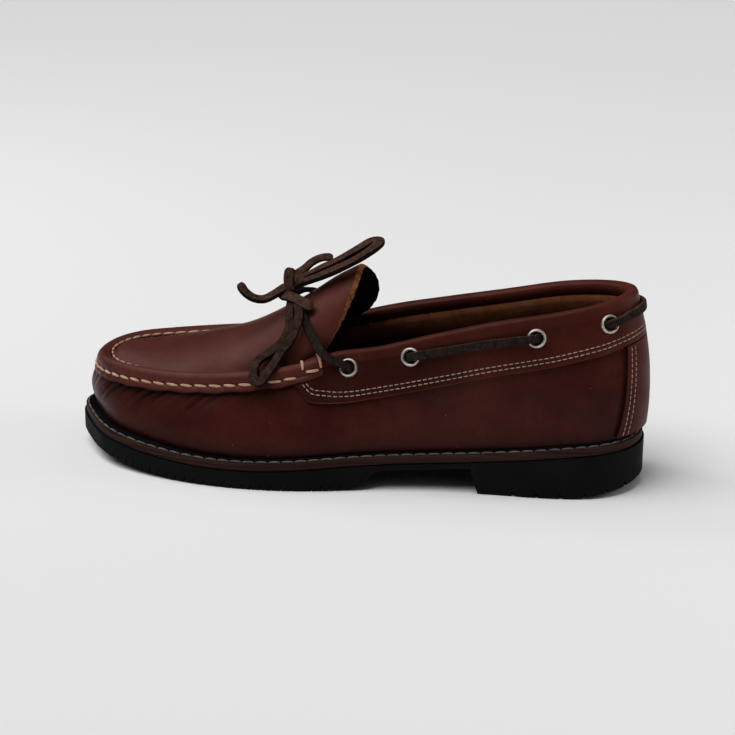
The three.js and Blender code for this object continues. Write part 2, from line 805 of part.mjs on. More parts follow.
function makeEyelet() {
  const seat = bandGap + overlay + eyelet.lift;
  const profile = [
    [eyelet.hole, -wall - gap],
    [eyelet.barrel, -wall - gap],
    [eyelet.barrel, seat],
    [eyelet.rim, seat],
    [(eyelet.rim + eyelet.hole) / 2, seat + eyelet.height],
    [eyelet.hole, seat + eyelet.height * 0.55],
    [eyelet.hole, -wall - gap],
  ];
  return new THREE.LatheGeometry(profile.map(([r, y]) => new THREE.Vector2(r, y)), 10);
}

function frameTurn(frame) {
  return new THREE.Quaternion().setFromUnitVectors(new THREE.Vector3(0, 1, 0), frame.out);
}

function holeCutter(frame) {
  const cylinder = new THREE.CylinderGeometry(eyelet.barrel + gap, eyelet.barrel + gap, 14, 8);
  cylinder.applyQuaternion(frameTurn(frame));
  cylinder.translate(frame.at.x, frame.at.y, frame.at.z);
  return toManifold(cylinder);
}

// Lace

// A strap of rounded section along a smooth path, its flat side facing away from the foot's axis.
function strap(points, size, steps) {
  const curve = new THREE.CatmullRomCurve3(points, false, "centripetal");
  const corners = [[-0.5, 0], [-0.32, 0.5], [0.32, 0.5], [0.5, 0], [0.32, -0.5], [-0.32, -0.5]];
  const rings = [];
  for (let i = 0; i <= steps; i++) {
    const at = curve.getPointAt(i / steps);
    const run = curve.getTangentAt(i / steps);
    const face = new THREE.Vector3(0, at.y, at.z - collarHeight / 2).projectOnPlane(run).normalize();
    const side = run.clone().cross(face);
    rings.push(
      corners.map(([x, y]) =>
        at.clone().addScaledVector(side, x * size.width).addScaledVector(face, y * size.thickness),
      ),
    );
  }
  return ringSolid(rings);
}

function pathPoints(path) {
  return path.map((row) => new THREE.Vector3(xAt(row.along), ballWidth * row.across, collarHeight * row.height));
}

// Where the lace leaves an eyelet, just clear of its rim.
function laceExit(frame, extra = 0) {
  const out = bandGap + overlay + eyelet.lift + eyelet.height + 1.4 * gap + lace.thickness / 2 + extra;
  return frame.at.clone().addScaledVector(frame.out, out);
}

// A lace lying on the band between two eyelets.
function sidePath(from, to, middle, extra = 0) {
  const count = 12;
  const points = [laceExit(from, extra)];
  for (let i = 1; i < count; i++) {
    const share = i / count;
    const t = from.turnT + (to.turnT - from.turnT) * share;
    const v = middle(t, share);
    const lift = (eyelet.lift + eyelet.height) * smooth((Math.abs(2 * share - 1) - 0.45) / 0.3);
    points.push(wallOffset(t, v, bandGap + overlay + 2 * gap + lace.thickness / 2 + lift + extra));
  }
  return [...points, laceExit(to, extra)];
}

function makeLaces(outer, inner) {
  for (const [name, frames] of [["outer", outer], ["inner", inner]]) {
    const level = (t, share) => frames[1].v + (frames[2].v - frames[1].v) * share;
    place(`lace_side_${name}`, strap(sidePath(frames[1], frames[2], level), lace, 12), rawhide);
    const path = name === "outer" ? frontOuterPath : frontInnerPath;
    const free = pathPoints(path);
    const exit = laceExit(frames[0], gap);
    const onto = free.at(-1).clone().sub(exit).projectOnPlane(frames[0].out).setLength(eyelet.rim).add(exit);
    place(`lace_front_${name}`, strap([...free, onto, exit], lace, 10), rawhide);
  }
  const ends = [outer[3].at.z, inner[3].at.z];
  const heelLevel = (t, share) => {
    const plain = ends[0] + (ends[1] - ends[0]) * share;
    const rise = Math.sin(Math.PI * share) ** 0.7;
    return heightShare(t, plain + (collarHeight * heelLaceHeight - plain) * rise);
  };
  place("lace_heel", strap(sidePath(outer[3], inner[3], heelLevel, gap), lace, 20), rawhide);
  const band = toManifold(strap(pathPoints(knotPath), knotLace, 5));
  const stem = toManifold(strap(pathPoints(knotStemPath), knotLace, 4));
  place("lace_knot", fromManifold(band.add(stem)), rawhide);
  place("lace_loop_high", strap(pathPoints(highLoopPath), lace, 20), rawhide);
  place("lace_loop_low", strap(pathPoints(lowLoopPath), lace, 18), rawhide);
  place("lace_end_short", strap(pathPoints(shortEndPath), lace, 8), rawhide);
  place("lace_end_long", strap(pathPoints(longEndPath), lace, 10), rawhide);
}

// Assembly

const eyelets = [-1, 1].flatMap((side) => eyeletPlaces.map((rule) => eyeletFrame(side, rule)));
const holes = eyelets.map(holeCutter);

place("outsole", makeOutsole(), darkRubber);
place("midsole", makeMidsole(), brownWelt);
place("insole", makeInsole(), suede);
place("upper", makeUpper(holes), chestnut);
place("apron_tongue", makeApron(), chestnut);
place("collar_band", makeBand(holes), chestnutEdge);
place("heel_strip", makeStrip(), chestnutEdge);
eyelets.forEach((frame, i) => {
  const side = frame.side < 0 ? "outer" : "inner";
  const mesh = place(`eyelet_${side}_${(i % eyeletPlaces.length) + 1}`, makeEyelet(), nickel);
  mesh.position.copy(frame.at);
  mesh.quaternion.copy(frameTurn(frame));
});

makeLaces(eyelets.slice(0, 4), eyelets.slice(4));

// The origin lies on the floor at the middle of the shoe, its free lace left out.
shoe.updateMatrixWorld(true);
const box = new THREE.Box3();
for (const mesh of shoe.children) {
  if (!/^lace_(knot|loop|end)/.test(mesh.name)) box.expandByObject(mesh);
}
const middle = box.getCenter(new THREE.Vector3());
shoe.position.set(-middle.x, -middle.y, -box.min.z);

const part = new THREE.Group();
part.add(shoe);

export default part;
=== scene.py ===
"""A left boat shoe: its leather, lining, stitches, lace and rubber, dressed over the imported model."""
import math

import bpy
import numpy as np
from mathutils import Matrix, Vector


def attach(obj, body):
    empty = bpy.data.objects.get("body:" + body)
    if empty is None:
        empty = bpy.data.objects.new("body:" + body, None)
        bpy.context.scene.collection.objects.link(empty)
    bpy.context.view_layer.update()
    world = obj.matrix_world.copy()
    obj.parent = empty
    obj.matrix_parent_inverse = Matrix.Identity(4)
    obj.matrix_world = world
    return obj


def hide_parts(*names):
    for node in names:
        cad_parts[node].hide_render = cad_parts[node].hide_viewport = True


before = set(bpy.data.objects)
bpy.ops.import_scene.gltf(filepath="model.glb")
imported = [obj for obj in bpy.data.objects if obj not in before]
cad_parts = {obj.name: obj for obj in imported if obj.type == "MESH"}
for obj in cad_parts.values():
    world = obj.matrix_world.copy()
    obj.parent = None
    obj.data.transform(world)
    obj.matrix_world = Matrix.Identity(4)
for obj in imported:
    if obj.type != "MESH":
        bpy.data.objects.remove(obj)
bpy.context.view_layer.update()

# Sizes in millimetres, as in the part's source
SOLE_LENGTH = 304.5
BALL_WIDTH = 105
HEEL_HEIGHT = 28.2
FORE_HEIGHT = 12.8
TOE_SPRING = 9
SPRING_START = 0.72
WAIST = 6.8
MIDSOLE = 3.7
MIDSOLE_INSET = 1
WELT_INSET = 3
HEEL_BREAST = (0.273, 0.287)
WAIST_RAMP = (0.441, 0.475)
ROCKER_START = 0.6
ROCKER_RISE = 1.3
HEEL_BEVEL = (48, 5.9)
COLLAR_HEIGHT = 101
WALL = 2.2
OVERLAY = 1.6
GAP = 0.3
BAND_GAP = 0.45
RAND_RISE = 0.8
SEAM_DROP = 6.5
BEAD_RISE = 3.8
BAND_FACE = BAND_GAP + OVERLAY
HEEL_LACE_HEIGHT = 0.938
STRIP_FACE = 0.42 + OVERLAY
STRIP_WIDTH = 29.4
LOBE = {"row": 7.87, "depth": 2.9, "front": 0.34, "back": 0.42, "lift": 0.6}
METRES = 0.001
SIDES = ("outer", "inner")

# From the source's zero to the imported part's, which is the middle of its box
SHIFT = np.array([-0.8101578, 1.6328945, 0.0])

# Rows of the sections: the toe tip, all the way round, the seam's end and the band's end under the seam
LAST_ROW = 15
AROUND = 30
APRON_END = 7.5
BAND_END = 7.4

# Stitch rows: heights over the band's lower edge, and distances from the heel strip's edge
BAND_ROWS = (2.9, 5.1)
STRIP_ROWS = (1.7, 3.4)

# Width and thickness of the lace: its strands, its bars, the knot, the upper loop and both ends
LACE = (4.6, 2.6)
BAR = (4.3, 2.6)
KNOT = (5.4, 3.3)
HIGH_LACE = (4.9, 3)
FAR_LACE = (4.6, 2.8)
NEAR_LACE = (4.1, 2.4)

# A lace's section: points round it, how square it is, how its size varies and how a trimmed end tapers,
# and the finer step along the knot
LACE_SIDES = 24
LACE_SQUARE = 7
LACE_WOBBLE = 0.05
LACE_TRIM = (0.5, 0.8, 0.93)
KNOT_STEP = 0.6

# Cuts in the sole
FORE_SLOT = {"pitch": 5.2, "width": 0.5, "height": 2.3, "depth": 5}
HEEL_SLOT = {"pitch": 12, "width": 1.8, "height": 1.8, "depth": 7}
SLOT_OVERRUN = 3
GROOVE = {"width": 3.2, "height": 3, "rim": 15}
GROOVE_PLACES = (0.5, 0.55, 0.6, 0.65, 0.7, 0.75, 0.8, 0.85, 0.09, 0.14, 0.19, 0.24)

# Threads
THREAD_FLAT = 0.8
WELT_STITCH = {"pitch": 6.9, "fill": 0.86, "inset": 2.25, "thick": 0.9}
MOC_STITCH = {"before": 0.42, "after": 0.4, "thick": 1.45, "rise": 0.4}
TACK_THICK = 1.6
TACK_POINTS = 14
FINE_THICK = 0.54

# The upper's sections, from the back of the heel to the toe tip, in shares of the sizes above
SECTION_NAMES = ("along outer inner margin top_along top_outer top_inner rise_outer rise_inner"
                 " low high band").split()
SECTIONS = [
    [0, -0.01, -0.01, 0.01, 0.03, -0.005, -0.005, 1.001, 1.001, 0.02, 0.072, 0.798],
    [0.02, -0.2, 0.181, 0.017, 0.04, -0.09, 0.076, 0.99, 0.996, 0.02, 0.067, 0.787],
    [0.068, -0.319, 0.3, 0.033, 0.077, -0.185, 0.166, 0.962, 0.979, 0.021, 0.058, 0.747],
    [0.147, -0.362, 0.343, 0.04, 0.15, -0.252, 0.238, 0.919, 0.941, 0.024, 0.05, 0.69],
    [0.256, -0.365, 0.335, 0.043, 0.257, -0.293, 0.286, 0.861, 0.864, 0.03, 0.05, 0.626],
    [0.36, -0.376, 0.319, 0.043, 0.359, -0.297, 0.293, 0.779, 0.802, 0.043, 0.05, 0.548],
    [0.45, -0.414, 0.333, 0.043, 0.445, -0.284, 0.284, 0.698, 0.751, 0.04, 0.05, 0.481],
    [0.524, -0.467, 0.376, 0.047, 0.53, -0.267, 0.271, 0.639, 0.684, 0.03, 0.05, 0.428],
    [0.579, -0.498, 0.419, 0.049, 0.566, -0.31, 0.329, 0.599, 0.634, 0.025, 0.048, 0.481],
    [0.633, -0.514, 0.457, 0.051, 0.618, -0.343, 0.35, 0.562, 0.604, 0.024, 0.045, 0.552],
    [0.703, -0.512, 0.484, 0.055, 0.694, -0.352, 0.356, 0.527, 0.569, 0.024, 0.045, 0.55],
    [0.782, -0.479, 0.474, 0.059, 0.772, -0.331, 0.347, 0.503, 0.546, 0.024, 0.043, 0.547],
    [0.861, -0.41, 0.434, 0.063, 0.851, -0.286, 0.309, 0.494, 0.528, 0.024, 0.038, 0.544],
    [0.926, -0.307, 0.373, 0.065, 0.915, -0.2, 0.247, 0.491, 0.515, 0.024, 0.034, 0.542],
    [0.968, -0.158, 0.288, 0.065, 0.952, -0.095, 0.16, 0.489, 0.5, 0.024, 0.03, 0.54],
    [1, 0.06, 0.06, 0.065, 0.967, 0.033, 0.033, 0.49, 0.49, 0.024, 0.03, 0.539],
]
COLUMN = {name: np.array([row[i] for row in SECTIONS]) for i, name in enumerate(SECTION_NAMES)}
# along, rise, welt
SEAT = [
    [0, 1, 3.6], [0.07, 0.94, 2.4], [0.14, 0.805, 2], [0.24, 0.568, 1.8], [0.34, 0.389, 1.8],
    [0.43, 0.29, 1.8], [0.51, 0.208, 1.8], [0.6, 0.073, 1.8], [0.66, 0.015, 1.8], [0.72, 0, 1.8], [1, 0, 1.8],
]
# row, along, height, bend, skew
CREST = [
    [7, 0.478, 1.114, 0.56, 0.034], [7.45, 0.498, 1.073, 0.58, 0.031], [8, 0.541, 0.997, 0.6, 0.02],
    [9, 0.605, 0.859, 0.64, 0.006], [10, 0.688, 0.712, 0.72, 0], [11, 0.765, 0.633, 0.8, 0],
    [12, 0.841, 0.584, 0.85, 0], [13, 0.897, 0.566, 0.9, 0], [14, 0.931, 0.552, 0.95, 0],
    [15, 0.944, 0.538, 1, 0],
]
INNER_REACH = 3.5
OUTER_REACH = 0.5
REACH_END = 0.2
EYELETS = [(0.499, 9.2), (0.393, 9), (0.185, 11.2), (0.069, 11.2)]
STRIP = [[0.02, 1.52], [0.2, 1.42], [0.4, 1.36], [0.7, 1.33], [1, 1.33]]

# Lace paths: along, across and height, in shares of length, ball width and collar height. The first and
# last points of a loop and the first of the strands and the far end lie hidden in the knot
FRONT_OUTER = [
    (0.592, -0.142, 0.878), (0.589, -0.172, 0.846), (0.583, -0.196, 0.818), (0.564, -0.243, 0.738),
    (0.542, -0.318, 0.682),
]
FRONT_INNER = [
    (0.613, -0.01, 0.902), (0.603, 0.085, 0.893), (0.592, 0.165, 0.868), (0.583, 0.228, 0.83),
    (0.564, 0.292, 0.77), (0.542, 0.338, 0.725),
]
KNOT_BAND = [
    (0.635, -0.05, 0.902), (0.618, -0.078, 0.904), (0.598, -0.122, 0.9), (0.58, -0.165, 0.892),
    (0.571, -0.168, 0.882),
]
KNOT_STEM = [(0.617, -0.048, 1.048), (0.620, -0.048, 0.983), (0.616, -0.048, 0.918)]
HIGH_LOOP = [
    (0.614, -0.036, 0.946), (0.607, -0.031, 0.955), (0.564, -0.062, 1.017), (0.528, -0.076, 1.074),
    (0.493, -0.076, 1.136), (0.47, -0.065, 1.188), (0.463, -0.032, 1.21), (0.476, -0.01, 1.204),
    (0.503, -0.023, 1.155), (0.534, -0.026, 1.097), (0.568, -0.012, 1.037), (0.599, 0.014, 0.981),
    (0.612, -0.01, 0.965),
]
LOW_LOOP = [
    (0.614, -0.045, 0.893), (0.6135, -0.09, 0.872), (0.613, -0.13, 0.85), (0.609, -0.2, 0.776),
    (0.618, -0.239, 0.709), (0.64, -0.264, 0.653), (0.655, -0.333, 0.627), (0.658, -0.38, 0.597),
    (0.657, -0.401, 0.564), (0.649, -0.407, 0.541), (0.64, -0.4, 0.559), (0.632, -0.38, 0.597),
    (0.625, -0.34, 0.627), (0.619, -0.272, 0.66), (0.606, -0.269, 0.716), (0.596, -0.255, 0.776),
    (0.591, -0.224, 0.834), (0.594, -0.17, 0.862), (0.602, -0.105, 0.885),
]
SHORT_END = [
    (0.622, -0.012, 0.972), (0.614, 0.052, 0.985), (0.603, 0.105, 1.000), (0.590, 0.124, 1.035),
    (0.573, 0.133, 1.059), (0.554, 0.133, 1.065),
]
LONG_END = [
    (0.622, -0.025, 0.946), (0.629, -0.048, 0.936), (0.636, -0.066, 0.924), (0.644, -0.076, 0.909),
    (0.66, -0.095, 0.887), (0.677, -0.114, 0.896), (0.692, -0.124, 0.931), (0.701, -0.124, 0.975),
]


# Curves

def hermite(a, b, slope_a, slope_b, w):
    """A cubic from a to b with the slopes given at its ends."""
    rest = 2 * w ** 3 - 3 * w ** 2 + 1
    return rest * a + (w ** 3 - 2 * w ** 2 + w) * slope_a + (1 - rest) * b + (w ** 3 - w ** 2) * slope_b


def catmull(points, closed=True, centripetal=True):
    """A function from 0..1 to places on a smooth curve through the points."""
    knots = np.array(points, float)
    count = len(knots)
    if not closed:
        first, last = 2 * knots[0] - knots[1], 2 * knots[-1] - knots[-2]
        knots = np.vstack([[first], knots, [last]])

    def at(t):
        t = np.asarray(t, float)
        place = np.mod(t, 1) * count if closed else np.clip(t, 0, 1) * (count - 1)
        i = np.floor(place).astype(int)
        if not closed:
            i = np.minimum(i, count - 2)
        w = (place - i)[..., None]
        near = [knots[(i + k) % count] if closed else knots[i + k + 1] for k in (-1, 0, 1, 2)]
        steps = [near[k + 1] - near[k] for k in range(3)]
        if not centripetal:
            return hermite(near[1], near[2], (near[2] - near[0]) / 2, (near[3] - near[1]) / 2, w)
        d = [np.sqrt(np.maximum(np.linalg.norm(s, axis=-1, keepdims=True), 1e-8)) for s in steps]
        before = (steps[0] / d[0] - (near[2] - near[0]) / (d[0] + d[1]) + steps[1] / d[1]) * d[1]
        after = (steps[1] / d[1] - (near[3] - near[1]) / (d[1] + d[2]) + steps[2] / d[2]) * d[1]
        return hermite(near[1], near[2], before, after, w)

    return at


def through(rows, column):
    """A smooth function through a table's first column and the given one."""
    x = np.array([row[0] for row in rows], float)
    y = np.array([row[column] for row in rows], float)
    before = np.maximum(np.arange(len(x)) - 1, 0)
    after = np.minimum(np.arange(len(x)) + 1, len(x) - 1)
    slope = (y[after] - y[before]) / (x[after] - x[before])

    def at(value):
        value = np.clip(value, x[0], x[-1])
        i = np.clip(np.searchsorted(x, value, side="right") - 1, 0, len(x) - 2)
        step = x[i + 1] - x[i]
        return hermite(y[i], y[i + 1], step * slope[i], step * slope[i + 1], (value - x[i]) / step)

    return at


def smooth(x):
    x = np.clip(x, 0, 1)
    return x * x * (3 - 2 * x)


def bump(x, centre, width):
    """A soft hill of height 1."""
    return np.exp(-((np.asarray(x) - centre) / width) ** 2)


def solve(f, target, low, high):
    """Values between low and high at which a monotonic function reaches the targets."""
    low = np.broadcast_to(np.asarray(low, float), np.shape(target)).copy()
    high = np.broadcast_to(np.asarray(high, float), np.shape(target)).copy()
    rising = f(high) > f(low)
    for _ in range(34):
        middle = (low + high) / 2
        less = (f(middle) < target) == rising
        low = np.where(less, middle, low)
        high = np.where(less, high, middle)
    return (low + high) / 2


def unit(vectors):
    return vectors / np.maximum(np.linalg.norm(vectors, axis=-1, keepdims=True), 1e-12)


def x_at(along):
    return SOLE_LENGTH * (0.5 - np.asarray(along))


def along_at(x):
    return 0.5 - np.asarray(x) / SOLE_LENGTH


def around_loop(outer, inner):
    """Rows of values down the outer side to the toe and back along the inner side."""
    return np.vstack([outer, inner[1:-1][::-1]])


def turn(side, row):
    return np.where(np.asarray(side) < 0, np.asarray(row) / AROUND, (AROUND - np.asarray(row)) / AROUND)


def row_at(t):
    """Section row at a place on the loop, the same on both sides."""
    index = np.mod(t, 1) * AROUND
    return np.where(index <= LAST_ROW, index, AROUND - index)


# The sole's form

def section_side(along, across, height):
    x = x_at(COLUMN[along])
    return np.stack([x, BALL_WIDTH * COLUMN[across], height * np.ones_like(x)], axis=-1)


SOLE = catmull(around_loop(*[section_side("along", side, 0) for side in SIDES]))
TOP = catmull(around_loop(*[
    section_side("top_along", f"top_{side}", COLLAR_HEIGHT * COLUMN[f"rise_{side}"]) for side in SIDES
]))
SCALARS = {
    key: catmull(around_loop(COLUMN[key][:, None], COLUMN[key][:, None]), centripetal=False)
    for key in ("margin", "low", "high", "band")
}
SEAT_RISE = through(SEAT, 1)
WELT_RISE = through(SEAT, 2)
CREST_AT = {name: through(CREST, i + 1) for i, name in enumerate(("along", "height", "bend", "skew"))}


def scalar(key, t):
    return SCALARS[key](t)[..., 0]


def spring(along):
    return TOE_SPRING * np.clip((along - SPRING_START) / (1 - SPRING_START), 0, 1) ** 1.6


def seat_height(x):
    along = along_at(x)
    return FORE_HEIGHT + (HEEL_HEIGHT - FORE_HEIGHT) * SEAT_RISE(along) + spring(along)


def welt_height(x):
    return seat_height(x) + WELT_RISE(along_at(x))


def tread_height(x):
    x = np.asarray(x, float)
    along = along_at(x)
    arch = seat_height(x) - WAIST
    heel = HEEL_BEVEL[1] * np.clip(1 - (SOLE_LENGTH / 2 - x) / HEEL_BEVEL[0], 0, 1) ** 2
    breast = arch * (along - HEEL_BREAST[0]) / (HEEL_BREAST[1] - HEEL_BREAST[0])
    rocker = ROCKER_RISE * np.clip((ROCKER_START - along) / (ROCKER_START - WAIST_RAMP[1]), 0, 1) ** 2
    ramp = arch + (rocker - arch) * smooth((along - WAIST_RAMP[0]) / (WAIST_RAMP[1] - WAIST_RAMP[0]))
    return np.select(
        [along < HEEL_BREAST[0], along < HEEL_BREAST[1], along < WAIST_RAMP[0], along < WAIST_RAMP[1]],
        [heel, breast, arch, ramp], spring(along) + rocker)


def outward(t):
    run = SOLE(np.asarray(t) + 5e-4) - SOLE(np.asarray(t) - 5e-4)
    return unit(np.stack([-run[..., 1], run[..., 0], 0 * run[..., 0]], axis=-1))


def inset(t, distance):
    return SOLE(t) - outward(t) * np.asarray(distance)[..., None]


# The wall's form

def foot_point(t, extra=0):
    point = SOLE(t) - outward(t) * (BALL_WIDTH * scalar("margin", t) + extra)[..., None]
    point[..., 2] = welt_height(point[..., 0]) + GAP
    return point


def wall_point(t, v):
    """Outer face of the wall: t runs round the shoe and v from the foot to the upper edge."""
    t, v = np.broadcast_arrays(np.asarray(t, float), np.asarray(v, float))
    foot, top, out = foot_point(t), TOP(t), outward(t)
    low = foot + (top - foot) / 3
    high = foot + (top - foot) * 2 / 3
    low[..., :2] = (foot + out * (BALL_WIDTH * scalar("low", t))[..., None])[..., :2]
    high[..., :2] = (top + out * (BALL_WIDTH * scalar("high", t))[..., None])[..., :2]
    v = v[..., None]
    rest = 1 - v
    return rest ** 3 * foot + 3 * rest ** 2 * v * low + 3 * rest * v ** 2 * high + v ** 3 * top


def wall_frame(t, v):
    """Place, outward normal and upward tangent on the wall."""
    t, v = np.broadcast_arrays(np.asarray(t, float), np.asarray(v, float))
    step = 0.002
    up = unit(wall_point(t, np.minimum(v + step, 1)) - wall_point(t, np.maximum(v - step, 0)))
    along = wall_point(t + step, v) - wall_point(t - step, v)
    return wall_point(t, v), unit(np.cross(up, along)), up


def wall_offset(t, v, out, up=0.0):
    at, normal, upward = wall_frame(t, v)
    shape = at.shape[:-1]
    out = np.broadcast_to(out, shape)[..., None]
    up = np.broadcast_to(up, shape)[..., None]
    return at + normal * out + upward * up


def edge_length(t):
    return np.linalg.norm(TOP(t) - foot_point(t), axis=-1)


def edge_offset(t, out, up):
    """A place beside the wall's edge: below it the place follows the wall, above it carries straight on."""
    t, out, up = np.broadcast_arrays(np.asarray(t, float), out, up)
    return wall_offset(t, np.where(up >= 0, 1, 1 + up / edge_length(t)), out, np.maximum(up, 0))


def height_share(t, z):
    return solve(lambda v: wall_point(t, v)[..., 2], np.asarray(z, float), 0, 1)


def band_low(t):
    """Share of the wall's height at which the band's lower edge lies, with its rounded front lobe."""
    row = row_at(t)
    spread = np.where(row > LOBE["row"], LOBE["front"], LOBE["back"])
    lobe = LOBE["depth"] * bump(row, LOBE["row"], spread) - LOBE["lift"] * bump(row, 6.9, 0.45)
    return height_share(t, COLLAR_HEIGHT * scalar("band", t) - lobe)


def arc(points):
    """Lengths along a row of points, from its first to each of them."""
    return np.concatenate([[0], np.cumsum(np.linalg.norm(np.diff(points, axis=0), axis=-1))])


def stations(f, start, end, pitch, count=4000):
    """Parameters at even steps of length along a curve f, with the last step fitted."""
    t = np.linspace(start, end, count)
    run = arc(f(t))
    steps = max(int(round(run[-1] / pitch)), 1)
    return np.interp(np.linspace(0, run[-1], steps + 1), run, t)


# Meshes

def add_object(name, data):
    obj = bpy.data.objects.new(name, data)
    bpy.context.collection.objects.link(obj)
    return obj


def make_object(name, points, faces, materials, indices=None, sharp=None):
    """A mesh object from millimetre points, already in its place."""
    mesh = bpy.data.meshes.new(name)
    place = (np.asarray(points).reshape(-1, 3) + SHIFT) * METRES
    mesh.from_pydata([tuple(p) for p in place], [], [tuple(map(int, f)) for f in faces])
    for material in materials:
        mesh.materials.append(material)
    if indices is not None:
        mesh.polygons.foreach_set("material_index", np.asarray(indices, dtype=np.int32))
    mesh.polygons.foreach_set("use_smooth", np.ones(len(mesh.polygons), dtype=bool))
    if sharp is not None:
        mesh.set_sharp_from_angle(angle=math.radians(sharp))
    mesh.update()
    return add_object(name, mesh)


def shade_points(obj, values):
    """Keeps a share of painted shade at each point, which the leather's colour follows."""
    attribute = obj.data.attributes.new("shade", "FLOAT", "POINT")
    attribute.data.foreach_set("value", np.asarray(values, dtype=np.float32))


def grid_faces(rows, columns, wrap_rows=False, wrap_columns=False, offset=0, flip=False):
    last_row = rows if wrap_rows else rows - 1
    last_column = columns if wrap_columns else columns - 1
    i, j = np.meshgrid(np.arange(last_row), np.arange(last_column), indexing="ij")
    i2, j2 = (i + 1) % rows, (j + 1) % columns
    quads = np.stack([i * columns + j, i2 * columns + j, i2 * columns + j2, i * columns + j2], axis=-1)
    quads = quads.reshape(-1, 4) + offset
    return quads[:, ::-1] if flip else quads


def grid_normals(points):
    return unit(np.cross(np.gradient(points, axis=0), np.gradient(points, axis=1)))


def shell(name, points, normals, thickness, materials, wrap_rows=False):
    """A sheet with thickness: materials are for its outer face, its inner face and its cut edges."""
    rows, columns = points.shape[:2]
    thickness = np.broadcast_to(thickness, (rows, columns))[..., None]
    inner = points - normals * thickness
    faces = [grid_faces(rows, columns, wrap_rows)]
    faces.append(grid_faces(rows, columns, wrap_rows, offset=rows * columns, flip=True))
    kinds = [np.zeros(len(faces[0])), np.ones(len(faces[1]))]
    rims = [np.arange(rows) * columns, np.arange(rows) * columns + columns - 1]
    if wrap_rows:
        rims = [np.append(rim, rim[0]) for rim in rims]
    else:
        rims += [np.arange(columns), (rows - 1) * columns + np.arange(columns)]
    flips = [True, False, False, True]
    for rim, flip in zip(rims, flips):
        a, b = rim[:-1], rim[1:]
        quads = np.stack([a, b, b + rows * columns, a + rows * columns], axis=-1)
        faces.append(quads[:, ::-1] if flip else quads)
        kinds.append(np.full(len(quads), 2))
    both = np.concatenate([points.reshape(-1, 3), inner.reshape(-1, 3)])
    return make_object(name, both, np.concatenate(faces), materials, np.concatenate(kinds), sharp=35)


def ring_stack(name, rings, material):
    """A closed body from rings of the same count, bottom to top, its flat ends filled by pairs across."""
    count = len(rings[0])
    faces = [list(f) for f in grid_faces(len(rings), count, wrap_columns=True, flip=True)]
    top = (len(rings) - 1) * count
    for base, flip in ((0, False), (top, True)):
        for i in range(count // 2):
            quad = [base + i, base + i + 1, base + (count - i - 1) % count, base + (count - i) % count]
            quad = list(dict.fromkeys(quad))
            if len(quad) > 2:
                faces.append(quad[::-1] if flip else quad)
    return make_object(name, np.concatenate(rings), faces, [material], sharp=30)


def tube_mesh(rings):
    """Points and faces of a tube from rings of points, closed at both ends."""
    rows, columns = len(rings), len(rings[0])
    faces = [list(f) for f in grid_faces(rows, columns, wrap_columns=True)]
    faces.append(list(range(columns)))
    faces.append([(rows - 1) * columns + i for i in range(columns)][::-1])
    return np.concatenate(rings), faces


def oval(count, power=2.0):
    """Points of a rounded rectangle between -0.5 and 0.5; power 2 is an ellipse."""
    a = np.arange(count) * 2 * np.pi / count
    c, s = np.cos(a), np.sin(a)
    return 0.5 * np.sign(c) * np.abs(c) ** (2 / power), 0.5 * np.sign(s) * np.abs(s) ** (2 / power)


def even_path(points, step):
    """Points at even lengths along a smooth curve through the given ones."""
    curve = catmull(points, closed=False)
    return curve(stations(curve, 0, 1, step, 1500))


def square_to(run, vectors):
    """Unit vectors square to the run, as near as can be to the given ones."""
    return unit(vectors - run * np.sum(vectors * run, axis=-1, keepdims=True))


def off_axis(path, run):
    """A face rule: the flat of the lace looks away from the foot's axis."""
    return np.stack([0 * path[:, 0], path[:, 1], path[:, 2] - COLLAR_HEIGHT / 2], axis=-1)


def strap(name, points, size, step=0.8, trimmed=True, face=off_axis, paints=None):
    """A flat rawhide lace along the points, with its two ends trimmed or left whole."""
    path = even_path(points, step)
    run = unit(np.gradient(path, axis=0))
    normal = square_to(run, face(path, run))
    side = np.cross(run, normal)
    x, y = oval(LACE_SIDES, LACE_SQUARE)
    count = len(path)
    length = np.arange(count) * step
    size_at = np.ones(count)
    if trimmed:
        size_at[:len(LACE_TRIM)] = LACE_TRIM
        size_at[-len(LACE_TRIM):] = LACE_TRIM[::-1]
    width = size[0] * (1 + LACE_WOBBLE * np.sin(length / 5.3 + points[0][0])) * size_at
    thick = size[1] * (1 + LACE_WOBBLE * np.sin(length / 3.7 + points[0][2])) * size_at
    rings = [
        path[i] + np.outer(x * width[i], side[i]) + np.outer(y * thick[i], normal[i])
        for i in range(count)
    ]
    points_out, faces = tube_mesh(rings)
    # The cut sides take the second paint, which is near-black painted shade unless other paints are given
    cut_side = np.abs(x + np.roll(x, -1)) > 0.96
    kinds = np.append(np.tile(cut_side.astype(int), count - 1), [0, 0])
    return make_object(name, points_out, faces, paints or [RAWHIDE, RAWHIDE_SIDE_SHADE], kinds, sharp=60), path


def lathe(profile, at, axis, count):
    """Points and faces of a turned ring about an axis; profile is a closed list of (radius, height)."""
    axis = unit(np.array(axis))
    right = unit(np.cross(axis, [0, 0, 1.0]))
    front = np.cross(axis, right)
    angle = np.arange(count) * 2 * np.pi / count
    rings = []
    for a in angle:
        arm = right * math.cos(a) + front * math.sin(a)
        rings.append(np.array([at + arm * r + axis * h for r, h in profile]))
    faces = grid_faces(count, len(profile), wrap_rows=True, wrap_columns=True)
    return np.concatenate(rings), faces


